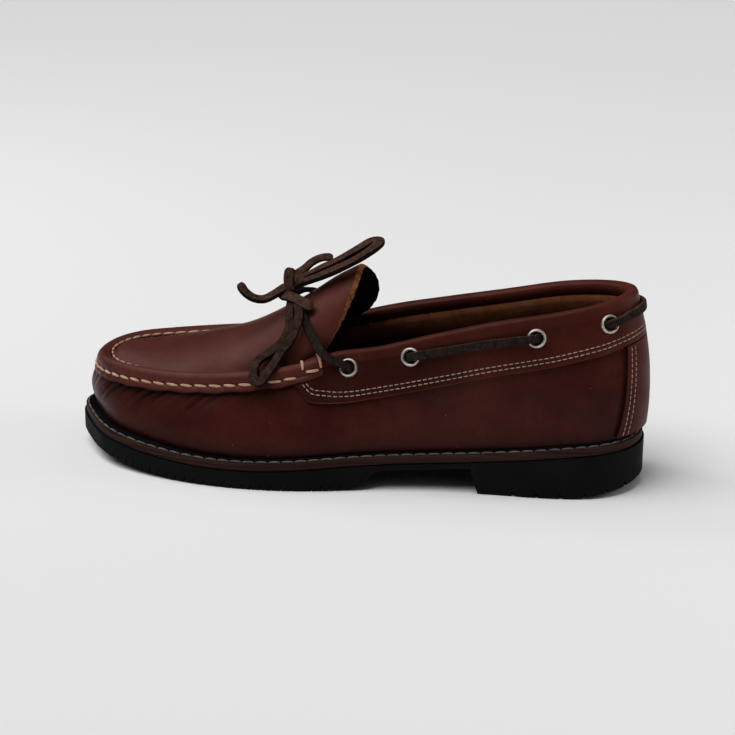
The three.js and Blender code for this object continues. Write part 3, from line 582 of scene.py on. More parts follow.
def thread_mesh(name, paths, normals, thickness, material, sides=8, taper=0.55):
    """Stitches along the given paths in one mesh, each thick in its middle and pointed at its ends."""
    all_points, all_faces, base = [], [], 0
    c, s = oval(sides)
    for path, faces_out in zip(paths, normals):
        count = len(path)
        run = unit(np.gradient(path, axis=0))
        normal = square_to(run, faces_out)
        side = np.cross(normal, run)
        swell = taper + (1 - taper) * np.sin(np.pi * np.linspace(0.02, 0.98, count)) ** 0.55
        for i in range(count):
            ring = np.outer(c, side[i]) + THREAD_FLAT * np.outer(s, normal[i])
            all_points.append(path[i] + thickness * swell[i] * ring)
        all_faces += [list(f) for f in grid_faces(count, sides, wrap_columns=True, offset=base, flip=True)]
        all_faces.append([base + i for i in range(sides)])
        all_faces.append([base + (count - 1) * sides + i for i in range(sides)][::-1])
        base += count * sides
    return make_object(name, np.concatenate(all_points), all_faces, [material], sharp=70)


def thread_dashes(name, starts, ends, normals, thickness, material, rise, sides=8, rings=7, taper=0.55):
    """Many short stitches, each an arched dash from its start to its end."""
    share = np.linspace(0, 1, rings)[:, None]
    lift = rise * (np.sin(np.pi * share) ** 0.7 - 0.35)
    paths = [a + (b - a) * share + n * lift for a, b, n in zip(starts, ends, normals)]
    return thread_mesh(name, paths, normals, thickness, material, sides, taper)


def dress(obj, slot, *nodes):
    """Rides a piece on the shoe and hides the solids that it stands for; slot, its finish, is not used."""
    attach(obj, "root")
    if nodes:
        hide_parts(*nodes)


# Materials

RANGE_KEYS = ("From Min", "From Max", "To Min", "To Max")

# Places of the mix node's colours among its inputs and outputs
MIX_FIRST = 6
MIX_SECOND = 7
MIX_RESULT = 2


class Paint:
    """A node material on Blender's principled shader, with its pattern in the shoe's own space."""

    def __init__(self, name, color, roughness, metallic=0.0, specular=0.5, tint=(1.0, 1.0, 1.0), sheen=0.0):
        self.material = bpy.data.materials.new(name)
        self.material.use_nodes = True
        self.nodes = self.material.node_tree.nodes
        self.links = self.material.node_tree.links
        self.shader = self.nodes["Principled BSDF"]
        for key, value in {
            "Base Color": (*color, 1), "Roughness": roughness, "Metallic": metallic,
            "Specular IOR Level": specular, "Specular Tint": (*tint, 1),
            "Sheen Weight": sheen, "Sheen Roughness": 0.5,
        }.items():
            self.shader.inputs[key].default_value = value
        self.place = self.add("ShaderNodeTexCoord").outputs["Object"]
        self.height = None

    def add(self, kind, **values):
        made = self.nodes.new(kind)
        for key, value in values.items():
            if key in made.inputs:
                made.inputs[key].default_value = value
            else:
                setattr(made, key, value)
        return made

    def link(self, source, target):
        self.links.new(source, target)

    def stretch(self, scale):
        mapping = self.add("ShaderNodeMapping")
        mapping.inputs["Scale"].default_value = scale
        self.link(self.place, mapping.inputs["Vector"])
        return mapping.outputs["Vector"]

    def noise(self, scale, detail=3.0, roughness=0.55, place=None):
        made = self.add("ShaderNodeTexNoise", Scale=scale, Detail=detail, Roughness=roughness)
        self.link(place or self.place, made.inputs["Vector"])
        return made.outputs["Fac"]

    def cells(self, scale):
        made = self.add("ShaderNodeTexVoronoi", feature="F1")
        made.inputs["Scale"].default_value = scale
        self.link(self.place, made.inputs["Vector"])
        return made.outputs["Distance"]

    def spread(self, value, *limits):
        """Maps the range of the first two limits onto that of the last two."""
        made = self.add("ShaderNodeMapRange")
        for key, number in zip(RANGE_KEYS, limits):
            made.inputs[key].default_value = number
        self.link(value, made.inputs["Value"])
        return made.outputs["Result"]

    def shade(self):
        """The painted shade that shade_points keeps on the mesh."""
        return self.add("ShaderNodeAttribute", attribute_name="shade").outputs["Fac"]

    def ramp(self, value, stops):
        made = self.add("ShaderNodeValToRGB")
        points = made.color_ramp.elements
        while len(points) < len(stops):
            points.new(0.5)
        for point, (place, color) in zip(points, stops):
            point.position = place
            point.color = (*color, 1)
        self.link(value, made.inputs["Fac"])
        return made.outputs["Color"]

    def mix(self, factor, first, second):
        made = self.add("ShaderNodeMix", data_type="RGBA")
        self.link(factor, made.inputs["Factor"])
        for value, key in ((first, MIX_FIRST), (second, MIX_SECOND)):
            if isinstance(value, tuple):
                made.inputs[key].default_value = (*value, 1)
            else:
                self.link(value, made.inputs[key])
        return made.outputs[MIX_RESULT]

    def color(self, value):
        self.link(value, self.shader.inputs["Base Color"])

    def rough(self, value):
        self.link(value, self.shader.inputs["Roughness"])

    def bump(self, value, strength, distance):
        made = self.add("ShaderNodeBump", Strength=strength, Distance=distance)
        self.link(value, made.inputs["Height"])
        if self.height is not None:
            self.link(self.height, made.inputs["Normal"])
        self.height = made.outputs["Normal"]
        self.link(self.height, self.shader.inputs["Normal"])


def leather(name, dark, light, roughness=0.36, specular=0.12):
    """Waxed, smooth leather: soft mottling, fine pores, faint creases, pale specks and painted shade."""
    paint = Paint(name, light, roughness, specular=specular, tint=(1.0, 0.62, 0.55))
    mottled = paint.ramp(paint.noise(26, 4), [(0.34, dark), (0.68, light)])
    fine = paint.spread(paint.noise(190, 5, 0.7), 0.35, 0.75, 0.0, 0.35)
    mottled = paint.mix(fine, mottled, tuple(0.55 * value for value in dark))
    # Painted shade: towards a near-black copy of the dark tone, as far as the mesh's shade attribute says
    shaded = paint.mix(paint.shade(), mottled, tuple(0.14 * value for value in dark))
    dust = paint.spread(paint.cells(120), 0.0, 0.045, 0.45, 0.0)
    paint.color(paint.mix(dust, shaded, (0.42, 0.3, 0.26)))
    paint.rough(paint.spread(paint.noise(60, 3), 0.3, 0.7, roughness - 0.06, roughness + 0.08))
    paint.bump(paint.noise(70, 3), 0.22, 0.0012)
    paint.bump(paint.cells(1300), 0.18, 0.00012)
    paint.bump(paint.noise(520, 4), 0.25, 0.00022)
    return paint.material


def raw_edge(name, dark, light):
    """Cut leather edge or suede: fibrous and matt."""
    paint = Paint(name, light, 0.9, specular=0.05, tint=(1.0, 0.7, 0.5))
    paint.color(paint.ramp(paint.noise(520, 5, 0.75), [(0.38, dark), (0.62, light)]))
    paint.bump(paint.noise(900, 5, 0.7), 0.6, 0.0005)
    return paint.material


def rubber_paint(name, dust=0.4, specular=0.07):
    paint = Paint(name, (0.004, 0.004, 0.005), 0.7, specular=specular)
    tone = paint.ramp(paint.noise(45, 5), [(0.3, (0.0025, 0.0025, 0.003)), (0.75, (0.006, 0.006, 0.0075))])
    specks = paint.spread(paint.cells(150), 0.0, 0.04, dust, 0.0)
    paint.color(paint.mix(specks, tone, (0.1, 0.085, 0.08)))
    paint.rough(paint.spread(paint.noise(90), 0.3, 0.7, 0.6, 0.8))
    paint.bump(paint.noise(700, 5, 0.6), 0.35, 0.0004)
    return paint.material


def rand_paint(name):
    """Brown rubber with faint lines along it, as a sanded rand has."""
    paint = Paint(name, (0.02, 0.011, 0.009), 0.6, specular=0.08, tint=(1.0, 0.65, 0.6))
    lines = paint.noise(1, 4, 0.6, paint.stretch((18, 18, 900)))
    paint.color(paint.ramp(lines, [(0.3, (0.013, 0.0065, 0.0055)), (0.7, (0.044, 0.021, 0.017))]))
    paint.bump(lines, 0.3, 0.0003)
    paint.bump(paint.noise(500), 0.15, 0.0002)
    return paint.material


def rawhide_paint(name, dark, middle, light, fleck=0.6):
    paint = Paint(name, middle, 0.75, specular=0.06, tint=(1.0, 0.7, 0.6))
    flecks = paint.spread(paint.cells(330), 0.0, 0.07, fleck, 0.0)
    base = paint.ramp(paint.noise(420, 6, 0.75), [(0.36, dark), (0.5, middle), (0.66, light)])
    paint.color(paint.mix(flecks, base, (0.2, 0.11, 0.08)))
    paint.rough(paint.spread(paint.noise(120), 0.3, 0.7, 0.62, 0.85))
    paint.bump(paint.noise(650, 5, 0.7), 0.55, 0.0005)
    return paint.material


def thread_paint(name, dark, light):
    paint = Paint(name, light, 0.72, specular=0.3, sheen=0.15)
    paint.color(paint.ramp(paint.noise(320, 3), [(0.3, dark), (0.7, light)]))
    wave = paint.add("ShaderNodeTexWave", Scale=250, Distortion=1.5, bands_direction="DIAGONAL")
    paint.link(paint.place, wave.inputs["Vector"])
    paint.bump(wave.outputs["Fac"], 0.35, 0.0003)
    return paint.material


def nickel_paint(name):
    paint = Paint(name, (0.72, 0.68, 0.63), 0.42, metallic=1.0)
    paint.color(paint.ramp(paint.noise(220, 4), [(0.3, (0.48, 0.45, 0.41)), (0.7, (0.66, 0.62, 0.57))]))
    paint.rough(paint.spread(paint.noise(500), 0.3, 0.7, 0.46, 0.6))
    paint.bump(paint.noise(900), 0.08, 0.0001)
    return paint.material


def suede_paint(name, dark, light):
    paint = Paint(name, light, 0.92, specular=0.05, tint=(1.0, 0.7, 0.5))
    nap = paint.ramp(paint.noise(160, 6, 0.7), [(0.3, dark), (0.72, light)])
    # Painted shade: the nap darkens towards near black as far as the mesh's shade attribute says
    paint.color(paint.mix(paint.shade(), nap, (0.003, 0.0015, 0.001)))
    paint.bump(paint.noise(1100, 5, 0.75), 0.55, 0.0005)
    return paint.material


LEATHER = leather("leather_vamp", (0.036, 0.0072, 0.0058), (0.07, 0.0145, 0.0105))
# Painted light: lighter than the vamp's leather, for the light that falls on the apron's top
LIT_APRON_LEATHER = leather("lit_leather_apron", (0.068, 0.016, 0.012), (0.11, 0.0265, 0.0195), 0.43, specular=0.19)
# Lighter than the vamp's leather, so that with the band's painted shade it paints the light on its topline
# and round the heel
BAND_LEATHER = leather("leather_band", (0.062, 0.0125, 0.0085), (0.115, 0.025, 0.0165), 0.38)
BAND_EDGE = raw_edge("band_edge", (0.075, 0.022, 0.014), (0.17, 0.058, 0.036))
# Painted light: lighter than the vamp's leather and less glossy, for the light from behind on the heel strip
LIT_TRIM_LEATHER = leather("leather_trim", (0.06, 0.0125, 0.0085), (0.11, 0.024, 0.016), 0.42, specular=0.06)
LEATHER_EDGE = raw_edge("leather_edge", (0.006, 0.002, 0.0016), (0.02, 0.006, 0.0045))
TONGUE_EDGE = raw_edge("tongue_edge", (0.09, 0.028, 0.009), (0.4, 0.165, 0.055))
# Near black: partly the suede back's own colour, partly painted shade inside the shoe
BACK_SUEDE = suede_paint("leather_back", (0.006, 0.0025, 0.002), (0.016, 0.007, 0.005))
LINING = suede_paint("lining_suede", (0.14, 0.045, 0.018), (0.27, 0.1, 0.043))
INSOLE = suede_paint("insole_suede", (0.052, 0.026, 0.016), (0.078, 0.04, 0.024))
RUBBER = rubber_paint("sole_rubber")
RAND = rand_paint("rand_rubber")
WELT_BLACK = rubber_paint("welt_black", 0.1, 0.02)
RAWHIDE = rawhide_paint("rawhide", (0.022, 0.0115, 0.009), (0.058, 0.029, 0.0215), (0.11, 0.058, 0.044))
# Painted shade: a darker copy of the rawhide for the low loop
RAWHIDE_SHADED = rawhide_paint(
    "rawhide_shaded", (0.014, 0.008, 0.007), (0.034, 0.019, 0.015), (0.066, 0.037, 0.029))
# Painted shade: a darker copy for the faces of the bars and the strands
RAWHIDE_FACE_SHADE = rawhide_paint(
    "rawhide_face_shade", (0.009, 0.0065, 0.006), (0.018, 0.0125, 0.011), (0.034, 0.024, 0.021), 0.2)
# Painted shade: near black for the lace's cut sides
RAWHIDE_SIDE_SHADE = rawhide_paint(
    "rawhide_side_shade", (0.003, 0.002, 0.002), (0.007, 0.005, 0.004), (0.018, 0.012, 0.01))
MOC_THREAD = thread_paint("moc_thread", (0.4, 0.215, 0.125), (0.66, 0.4, 0.26))
FINE_THREAD = thread_paint("fine_thread", (0.3, 0.19, 0.16), (0.52, 0.37, 0.32))
WELT_THREAD = thread_paint("welt_thread", (0.07, 0.058, 0.05), (0.17, 0.145, 0.125))
NICKEL = nickel_paint("nickel")
# Painted shade: a near-black disc in each eyelet's hole
HOLE_SHADE = suede_paint("hole_shade", (0.002, 0.0015, 0.0015), (0.005, 0.003, 0.003))


# Soles

def edge_functions():
    """Both edges of the sole in plan, as functions of x."""
    fine = np.linspace(0, LAST_ROW, 1200)
    sides = []
    for side in (-1, 1):
        points = SOLE(turn(side, fine))
        order = np.argsort(points[:, 0])
        sides.append((points[order, 0], points[order, 1]))
    return [lambda x, xs=xs, ys=ys: np.interp(x, xs, ys) for xs, ys in sides]


EDGES = edge_functions()


def outsole_body():
    """The tread and side wall between two heights, in cross-sections along the shoe."""
    start, end = SOLE(0.0)[0], SOLE(0.5)[0]
    x = (start + end) / 2 + (start - end) / 2 * np.cos(np.linspace(0, np.pi, 220))
    breaks = [HEEL_BREAST[0] - 1e-4, HEEL_BREAST[0], HEEL_BREAST[1], *np.linspace(*WAIST_RAMP, 8)]
    x = np.sort(np.concatenate([x, x_at(breaks)]))[::-1]
    x = x[np.concatenate([[True], np.abs(np.diff(x)) > 0.02])]
    low, high = tread_height(x), seat_height(x) - MIDSOLE - GAP
    outer, inner = EDGES[0](x), EDGES[1](x)
    inner[0], inner[-1] = outer[0] + 0.02, outer[-1] + 0.02
    corners = [(x, outer, low), (x, inner, low), (x, inner, high), (x, outer, high)]
    points, faces = tube_mesh(np.stack([np.stack(corner, axis=-1) for corner in corners], axis=1))
    return make_object("outsole_rubber", points, faces, [RUBBER])


def cutter_box(centre, size, angle=0.0):
    half = np.array(size) / 2
    corners = np.array([[a, b, c] for a in (-1, 1) for b in (-1, 1) for c in (-1, 1)]) * half
    c, s = math.cos(angle), math.sin(angle)
    turned = corners @ np.array([[c, s, 0], [-s, c, 0], [0, 0, 1]])
    faces = [[0, 1, 3, 2], [4, 6, 7, 5], [0, 4, 5, 1], [2, 3, 7, 6], [0, 2, 6, 4], [1, 5, 7, 3]]
    return turned + np.array(centre), faces


def edge_slots(start, end, slot):
    """Cutters for the slots in the sole's edge between two places on the loop."""
    size = (slot["depth"] + SLOT_OVERRUN, slot["width"], slot["height"] * 2)
    boxes = []
    for t in stations(SOLE, start, end, slot["pitch"])[1:-1]:
        out, edge = outward(t), SOLE(t)
        inside = edge - out * slot["depth"] / 2
        z = float(max(tread_height(edge[0]), tread_height(inside[0])))
        centre = edge + out * (SLOT_OVERRUN - slot["depth"]) / 2
        boxes.append(cutter_box((centre[0], centre[1], z), size, math.atan2(out[1], out[0])))
    return boxes


def tread_grooves():
    """Cutters for the grooves across the heel and the forefoot."""
    boxes = []
    for along in GROOVE_PLACES:
        x = float(x_at(along))
        low, high = EDGES[0](x) + GROOVE["rim"], EDGES[1](x) - GROOVE["rim"]
        centre = (x, (low + high) / 2, float(tread_height(x)))
        boxes.append(cutter_box(centre, (GROOVE["width"], high - low, GROOVE["height"] * 2)))
    return boxes


def cut(obj, boxes):
    """Takes the boxes out of the object's mesh."""
    points, faces, base = [], [], 0
    for corners, quads in boxes:
        points.append(corners)
        faces += [[base + i for i in quad] for quad in quads]
        base += len(corners)
    cutter = make_object("cutters", np.concatenate(points), faces, [])
    tool = obj.modifiers.new("cut", "BOOLEAN")
    tool.operation, tool.solver, tool.object = "DIFFERENCE", "EXACT", cutter
    mesh = bpy.data.meshes.new_from_object(obj.evaluated_get(bpy.context.evaluated_depsgraph_get()))
    obj.modifiers.clear()
    obj.data = mesh
    bpy.data.objects.remove(cutter)
    mesh.polygons.foreach_set("use_smooth", np.ones(len(mesh.polygons), dtype=bool))
    mesh.set_sharp_from_angle(angle=math.radians(28))
    return obj


def row_where(along):
    return float(solve(lambda row: along_at(SOLE(turn(-1, row))[..., 0]), np.array(along), 1, 12))


def make_outsole():
    fore = row_where(WAIST_RAMP[1] + 0.012) / AROUND
    heel = row_where(HEEL_BREAST[0] - 0.02) / AROUND
    boxes = edge_slots(fore, 1 - fore, FORE_SLOT) + edge_slots(-heel, heel, HEEL_SLOT) + tread_grooves()
    dress(cut(outsole_body(), boxes), "rubber", "outsole")


def sole_rings(levels):
    """Rings of the sole's outline from (inset, height function) pairs."""
    t = np.arange(720) / 720
    rings = []
    for distance, height in levels:
        ring = inset(t, np.full_like(t, distance))
        ring[:, 2] = height(ring[:, 0])
        rings.append(ring)
    return rings


def over_seat(rise):
    """A height rule: so far over the midsole's flat top."""
    return lambda x: seat_height(x) + rise


def make_midsole():
    edge, welt_edge = MIDSOLE_INSET, WELT_INSET
    rand = [
        (edge + 0.5, over_seat(-MIDSOLE)), (edge, over_seat(0.35 - MIDSOLE)), (edge - 0.1, over_seat(-2)),
        (edge, over_seat(RAND_RISE - 0.6)), (edge + 0.4, over_seat(RAND_RISE)),
        (welt_edge, over_seat(RAND_RISE - 0.2)),
    ]
    welt = [
        (edge + 0.6, over_seat(-0.6)), (edge + 0.6, over_seat(0.05)),
        (welt_edge - 0.35, over_seat(RAND_RISE)), (welt_edge, over_seat(RAND_RISE + 0.3)),
        (welt_edge, lambda x: welt_height(x) - 0.25), (welt_edge + 0.5, welt_height),
    ]
    for name, levels, paint in (("midsole_rand", rand, RAND), ("midsole_welt", welt, WELT_BLACK)):
        dress(ring_stack(name, sole_rings(levels), paint), "rand", "midsole")


def make_welt_stitches():
    t = stations(SOLE, 0, 1, WELT_STITCH["pitch"])
    ends = t[:-1] + np.diff(t) * WELT_STITCH["fill"]
    a, b = [inset(place, np.full(len(ends), WELT_STITCH["inset"])) for place in (t[:-1], ends)]
    for p in (a, b):
        p[:, 2] = seat_height(p[:, 0]) + RAND_RISE + 0.2
    normals = unit(outward(t[:-1]) * 0.5 + np.array([0, 0, 1.0]))
    obj = thread_dashes("welt_stitches", a, b, normals, WELT_STITCH["thick"], WELT_THREAD, rise=0.5)
    dress(obj, "rand", "midsole")


def make_insole():
    t = np.arange(360) / 360
    inner = foot_point(t, WALL + 1.2)
    rings = []
    for extra, rise in ((0.2, 0.0), (0, 0.4), (0, 2.4), (0.8, 3.0), (4, 3.1)):
        ring = inner - outward(t) * extra
        ring[:, 2] = welt_height(ring[:, 0]) + GAP + rise
        rings.append(ring)
    dress(ring_stack("insole_suede", rings, INSOLE), "suede", "insole")


# The seam round the apron

def seam_places():
    """Stitch places along the apron's seam, as places on the loop, closer together round the toe."""
    t = np.linspace(APRON_END / AROUND, 1 - APRON_END / AROUND, 3000)
    run = arc(TOP(t))
    toe = np.interp(0.5, t, run)
    places = [toe]
    for sign in (-1, 1):
        at = toe
        while True:
            at += sign * (6.3 + 1.6 * float(smooth((abs(at - toe) - 18) / 55)))
            if not 3 < at < run[-1] - 3:
                break
            places.append(at)
    return np.interp(np.sort(places), run, t)


SEAM = seam_places()
TACK_ROW = 8.3

# Ends of the closing stitches, as row and share of the border's profile
TACKS = [((8.32, 0.76), (8.24, 0.42)), ((8.14, 0.355), (7.64, 0.285)), ((7.66, 0.76), (7.54, 0.33))]


def stitch_count(t):
    """Number of stitches passed at a place on the loop, a whole number between two stitches' middles."""
    return np.interp(np.mod(t, 1), SEAM, np.arange(len(SEAM)))


def gathers(t, v):
    """Pleats that the seam draws into the vamp: slanted towards the toe, uneven, fading downwards."""
    row = row_at(t)
    amount = 1.15 * smooth((row - 10.1) / 2) * (1 - 0.45 * smooth((row - 13.6) / 1.2))
    amount = amount + 0.3 * bump(row, 10.2, 0.9) + 0.14 * bump(row, 8.9, 0.8)
    below = (1 - v) * edge_length(t) - SEAM_DROP
    slant = np.clip((0.5 - np.mod(t, 1)) / 0.04, -1, 1)
    count = stitch_count(t) - 0.15 * below * slant
    pleat = np.floor(count + 0.5)
    strength = 0.35 + 0.65 * np.sin(pleat * 2.3 + 0.7) ** 2
    reach = 4.5 + 4.5 * np.sin(pleat * 1.9) ** 2
    fade = np.where(below < 0, np.exp(-((below / 2.2) ** 2)), np.exp(-((below / reach) ** 2)))
    fold = 0.55 * np.cos(2 * np.pi * count) * strength
    swell = 0.35 * np.sin(count * 1.7) + 0.25 * np.sin(count * 0.83 + 1)
    return amount * (fade * (fold - 0.3) + swell * np.exp(-((below - 5) / 9) ** 2))


def toe_pull(t):
    """How far the seam at the toe tip is drawn back behind the vamp's bulge."""
    return -1.1 * bump(row_at(t), LAST_ROW, 1.5)


def toe_reach(t):
    """How much narrower the roll is at the toe tip."""
    return 1.9 * bump(row_at(t), LAST_ROW, 2)


def soft_dents(t, v):
    """Low hollows where the vamp has bent in use, and its bulge under the seam at the toe."""
    row = row_at(t)
    toe = 1.5 * bump(row, LAST_ROW, 1.7) * bump(v, 0.45, 0.28) + toe_pull(t) * smooth((v - 0.7) / 0.3)
    hollow = 0.5 * bump(row, 9.6, 0.5) * bump(v, 0.55, 0.2)
    swell = 0.35 * bump(row, 10.4, 0.6) * bump(v, 0.5, 0.25)
    return toe - hollow + swell


def make_upper():
    t = (np.arange(720) / 720)[:, None]
    v = np.linspace(0, 1, 44)[None, :]
    at, normal, _ = wall_frame(t, v)
    folds = gathers(t, v)
    relief = folds + soft_dents(t, v)
    points = at + normal * relief[..., None]
    foot = v * edge_length(t)
    under = (1 - v) * edge_length(t) - SEAM_DROP
    # Painted shade: darker at the wall's foot over the welt, in the shadow under the apron's skirt and in the
    # pleats' hollows
    shade = 0.85 * np.exp(-foot / 4.5) + 0.75 * np.exp(-np.abs(under) / 2.2) * (row_at(t) > 8.2)
    shade = np.clip(shade + np.clip(-folds, 0, 1) * 0.8, 0, 0.95)
    paints = [LEATHER, BACK_SUEDE, LEATHER_EDGE]
    obj = shell("upper_vamp", points[::-1], normal[::-1], (WALL + relief)[::-1], paints, wrap_rows=True)
    shade_points(obj, np.concatenate([shade[::-1].ravel(), np.zeros(shade.size)]))
    dress(obj, "leather", "upper")


# Section of the seam's border: out and up from the wall's edge, from the skirt to the inner crease
BORDER = catmull([
    (1.9, -6.5), (2.0, -5.4), (1.9, -4.1), (1.45, -2.9), (1.95, -1.6), (2.25, 0.2), (1.95, 2.2), (0.7, 4.2),
    (-1.2, 5.15), (-3.2, 5.35), (-5.2, 5.1), (-6.7, 4.5), (-7.4, 4.1),
], closed=False)


def border_strip(side, row, shares):
    """The seam's border at the given shares of its profile, from the skirt's edge to the inner crease."""
    rule = BORDER(shares)[None]
    t = turn(side, row)[:, None]
    out = np.broadcast_to(rule[..., 0], (len(row), len(shares)))
    up = np.broadcast_to(rule[..., 1], (len(row), len(shares)))
    count = stitch_count(t)
    pull = 0.2 * np.cos(2 * np.pi * count) * bump(up, -2.9, 2.2)
    hem = 0.3 * np.sin(count * 2.9) * np.clip((-4 - up) / 2.5, 0, 1)
    crease = bump(out, -7.2, 2.2)
    flat = smooth((8.5 - row) / 0.5)[:, None]
    near = 0.2 + 1.5 * smooth((0.54 - t) / 0.08)
    low = (1 - flat) * near * smooth((1 - out) / 3.5)
    narrow = toe_reach(t) * smooth((-out - 2) / 5)
    out = out + pull + toe_pull(t) + narrow + 0.4 * low * crease
    up = up + 0.75 * flat * crease - low + hem
    return edge_offset(t, out, up)


def field_strip(row, q, outer, inner):
    """The apron's crown and the tongue between both inner creases."""
    middle = (outer + inner) / 2
    tip = smooth((LAST_ROW - row) / 1.6)
    rise_x = (x_at(CREST_AT["along"](row)) - middle[:, 0]) * tip
    rise_z = (COLLAR_HEIGHT * CREST_AT["height"](row) - middle[:, 2]) * tip
    bend = CREST_AT["bend"](row)[:, None]
    arch = (1 - np.abs(q) ** 2.1) ** bend
    near_edge = 1 - np.abs(q)
    reach = np.where(q > 0, INNER_REACH, OUTER_REACH)
    lean = SOLE_LENGTH * CREST_AT["skew"](row)[:, None] * reach * q ** 2 * near_edge ** REACH_END
    soft = 0.06 + 0.12 * smooth((row[:, None] - 11.5) / 2)
    arch = arch * (1 - smooth((row[:, None] - 8) / 1.5) * np.exp(-near_edge / soft))
    share = ((q + 1) / 2)[..., None]
    points = outer[:, None] * (1 - share) + inner[:, None] * share
    points[..., 0] += rise_x[:, None] * arch + lean
    points[..., 2] += rise_z[:, None] * arch
    return points


def make_apron():
    u = np.linspace(0, 1, 190)
    row = LAST_ROW - (LAST_ROW - APRON_END) * (0.35 * u ** 2 + 0.65 * u)
    row[1:4] = LAST_ROW - (LAST_ROW - row[4]) * np.array([0.06, 0.22, 0.55])
    shares = np.linspace(0, 1, 34)
    seam_row = row - 0.085 * smooth((8.3 - row) / 0.8)
    outer, inner = border_strip(-1, seam_row, shares), border_strip(1, seam_row, shares)
    q = -np.cos(np.linspace(0, np.pi, 72)[1:-1])[None, :]
    field = field_strip(row, q, outer[:, -1], inner[:, -1])
    points = np.concatenate([outer, field, inner[:, ::-1]], axis=1)
    normals = grid_normals(points)
    normals[0] = normals[1]
    last = smooth((7.75 - row) / 0.25)[:, None]
    paints = [LIT_APRON_LEATHER, BACK_SUEDE, LEATHER_EDGE, TONGUE_EDGE]
    obj = shell("apron_leather", points, normals, OVERLAY + 0.9 * last, paints)
    bevel_tongue_edge(obj, points, normals, len(shares))
    # Painted shade along the skirt's edge, in the stitch groove and at the inner creases, less along the near
    # crease
    border = 0.75 * bump(shares, 0, 0.05) + 0.5 * bump(shares, 0.26, 0.05) + 0.8 * bump(shares, 1, 0.045)
    crease = np.where(q[0] < 0, 0.25, 0.7) * np.exp(-(1 - np.abs(q[0])) / 0.03)
    near = border * np.where(shares > 0.9, 0.35, 1)
    shade = np.broadcast_to(np.concatenate([near, crease, border[::-1]]), points.shape[:2])
    shade_points(obj, np.concatenate([shade.ravel(), np.zeros(shade.size)]))
    dress(obj, "leather", "apron_tongue")


# How far the tongue's cut slants, in metres, and the place of its paint among the apron's
CUT_SLANT = 0.0017
CUT_PAINT = 3


def bevel_tongue_edge(obj, points, normals, skip):
    """Slants the raw cut across the tongue's end, so that it shows, and gives it its own colour."""
    rows, columns = points.shape[:2]
    across = np.gradient(points[-1], axis=0)
    run = unit(np.cross(across, normals[-1]))
    run *= np.sign(np.sum(run * (points[-1] - points[-3]), axis=-1, keepdims=True))
    mesh = obj.data
    for column in range(skip, columns - skip):
        vertex = mesh.vertices[rows * columns + (rows - 1) * columns + column]
        ragged = 1 + 0.08 * math.sin(column * 1.7) + 0.06 * math.sin(column * 3.1)
        vertex.co += Vector(run[column] * CUT_SLANT * ragged)
    for column in range(skip, columns - skip - 1):
        mesh.polygons[len(mesh.polygons) - (columns - 1) + column].material_index = CUT_PAINT


def make_seam_stitches():
    """Hand stitches of the moccasin seam, on the skirt and again in the crease inside the roll."""
    step = np.gradient(SEAM)
    kept = row_at(SEAM) > TACK_ROW
    t, step = SEAM[kept], step[kept]
    far = smooth((t - 0.455) / 0.06)
    wall = wall_frame(t, 1)[1]
    inner = -6.9 + 0.7 * far + 0.9 * toe_reach(t)
    for name, out, up, tilt, normals in (
        ("moc_stitches", 1.85, -2.9, 0.3, wall),
        ("moc_stitches_inner", inner, 3.3 + 1.75 * far, 0.1, unit(np.array([0, 0, 1.0]) - wall)),
    ):
        starts = edge_offset(t - step * MOC_STITCH["before"], out + toe_pull(t), up - tilt)
        ends = edge_offset(t + step * MOC_STITCH["after"], out + toe_pull(t), up + tilt)
        obj = thread_dashes(name, starts, ends, normals, MOC_STITCH["thick"], MOC_THREAD,
                            rise=MOC_STITCH["rise"], sides=10, rings=11, taper=0.3)
        dress(obj, "leather", "apron_tongue")


def make_bar_tacks():
    """The three stitches that close the seam at each side of the throat, wrapped over the roll."""
    for side, name in zip((-1, 1), SIDES):
        paths, normals = [], []
        for start, end in TACKS:
            row, share = np.linspace(start, end, TACK_POINTS).T
            path = np.diagonal(border_strip(side, row, share)).T
            wall = wall_frame(turn(side, row), 1)[1]
            over = smooth((share - 0.3) / 0.4)[:, None]
            normal = unit(wall * (1 - over * 0.8) + np.array([0, 0, 1.0]) * over)
            paths.append(path + normal * 0.45)
            normals.append(normal)
        obj = thread_mesh(f"bar_tack_{name}", paths, normals, TACK_THICK, MOC_THREAD, 10, 0.5)
        dress(obj, "leather", "apron_tongue")


# Collar

def band_columns():
    """Rows of the collar band, negative on the outer side, with a clean end at the apron's border."""
    def room(row):
        t = turn(-1, row)
        return band_low(t) - 1 + (SEAM_DROP + GAP) / edge_length(t)

    end = float(solve(room, np.array(0.0), 7.6, 9))
    plain = np.linspace(0, BAND_END - 0.02, 210)
    under_seam = np.linspace(BAND_END + 0.02, end - 0.01, 34)
    side = np.concatenate([plain, under_seam])
    return np.concatenate([-side[:0:-1], side])


# Section of the rolled topline: out and up from the wall's edge, over it and down inside
BEAD = catmull([
    (2.05, -3.2), (2.2, -1), (2.3, 1.0), (1.7, 2.8), (0.2, 3.7), (-1.6, 3.8), (-3.3, 3.0), (-4.25, 1.2),
    (-4.3, -1.0), (-3.8, -2.6), (-2.9, -2.7), (-2.7, -1.5), (-2.65, 0.45),
], closed=False)


# Height at which the roll starts, and the painted shade on the band's face, its roll and its back
BEAD_FOOT = -3.2
FACE_SHADE = 0.16
BEAD_SHADE = 0.05
BACK_SHADE = 0.4


def band_signed(row):
    """Place on the loop of a signed row: the outer side is negative, as in band_columns."""
    return np.mod(np.where(row < 0, -row / AROUND, (AROUND - row) / AROUND), 1)


def band_edge(t):
    """Height of the band's lower edge below the wall's edge, in millimetres along the wall."""
    return -(1 - band_low(t)) * edge_length(t)


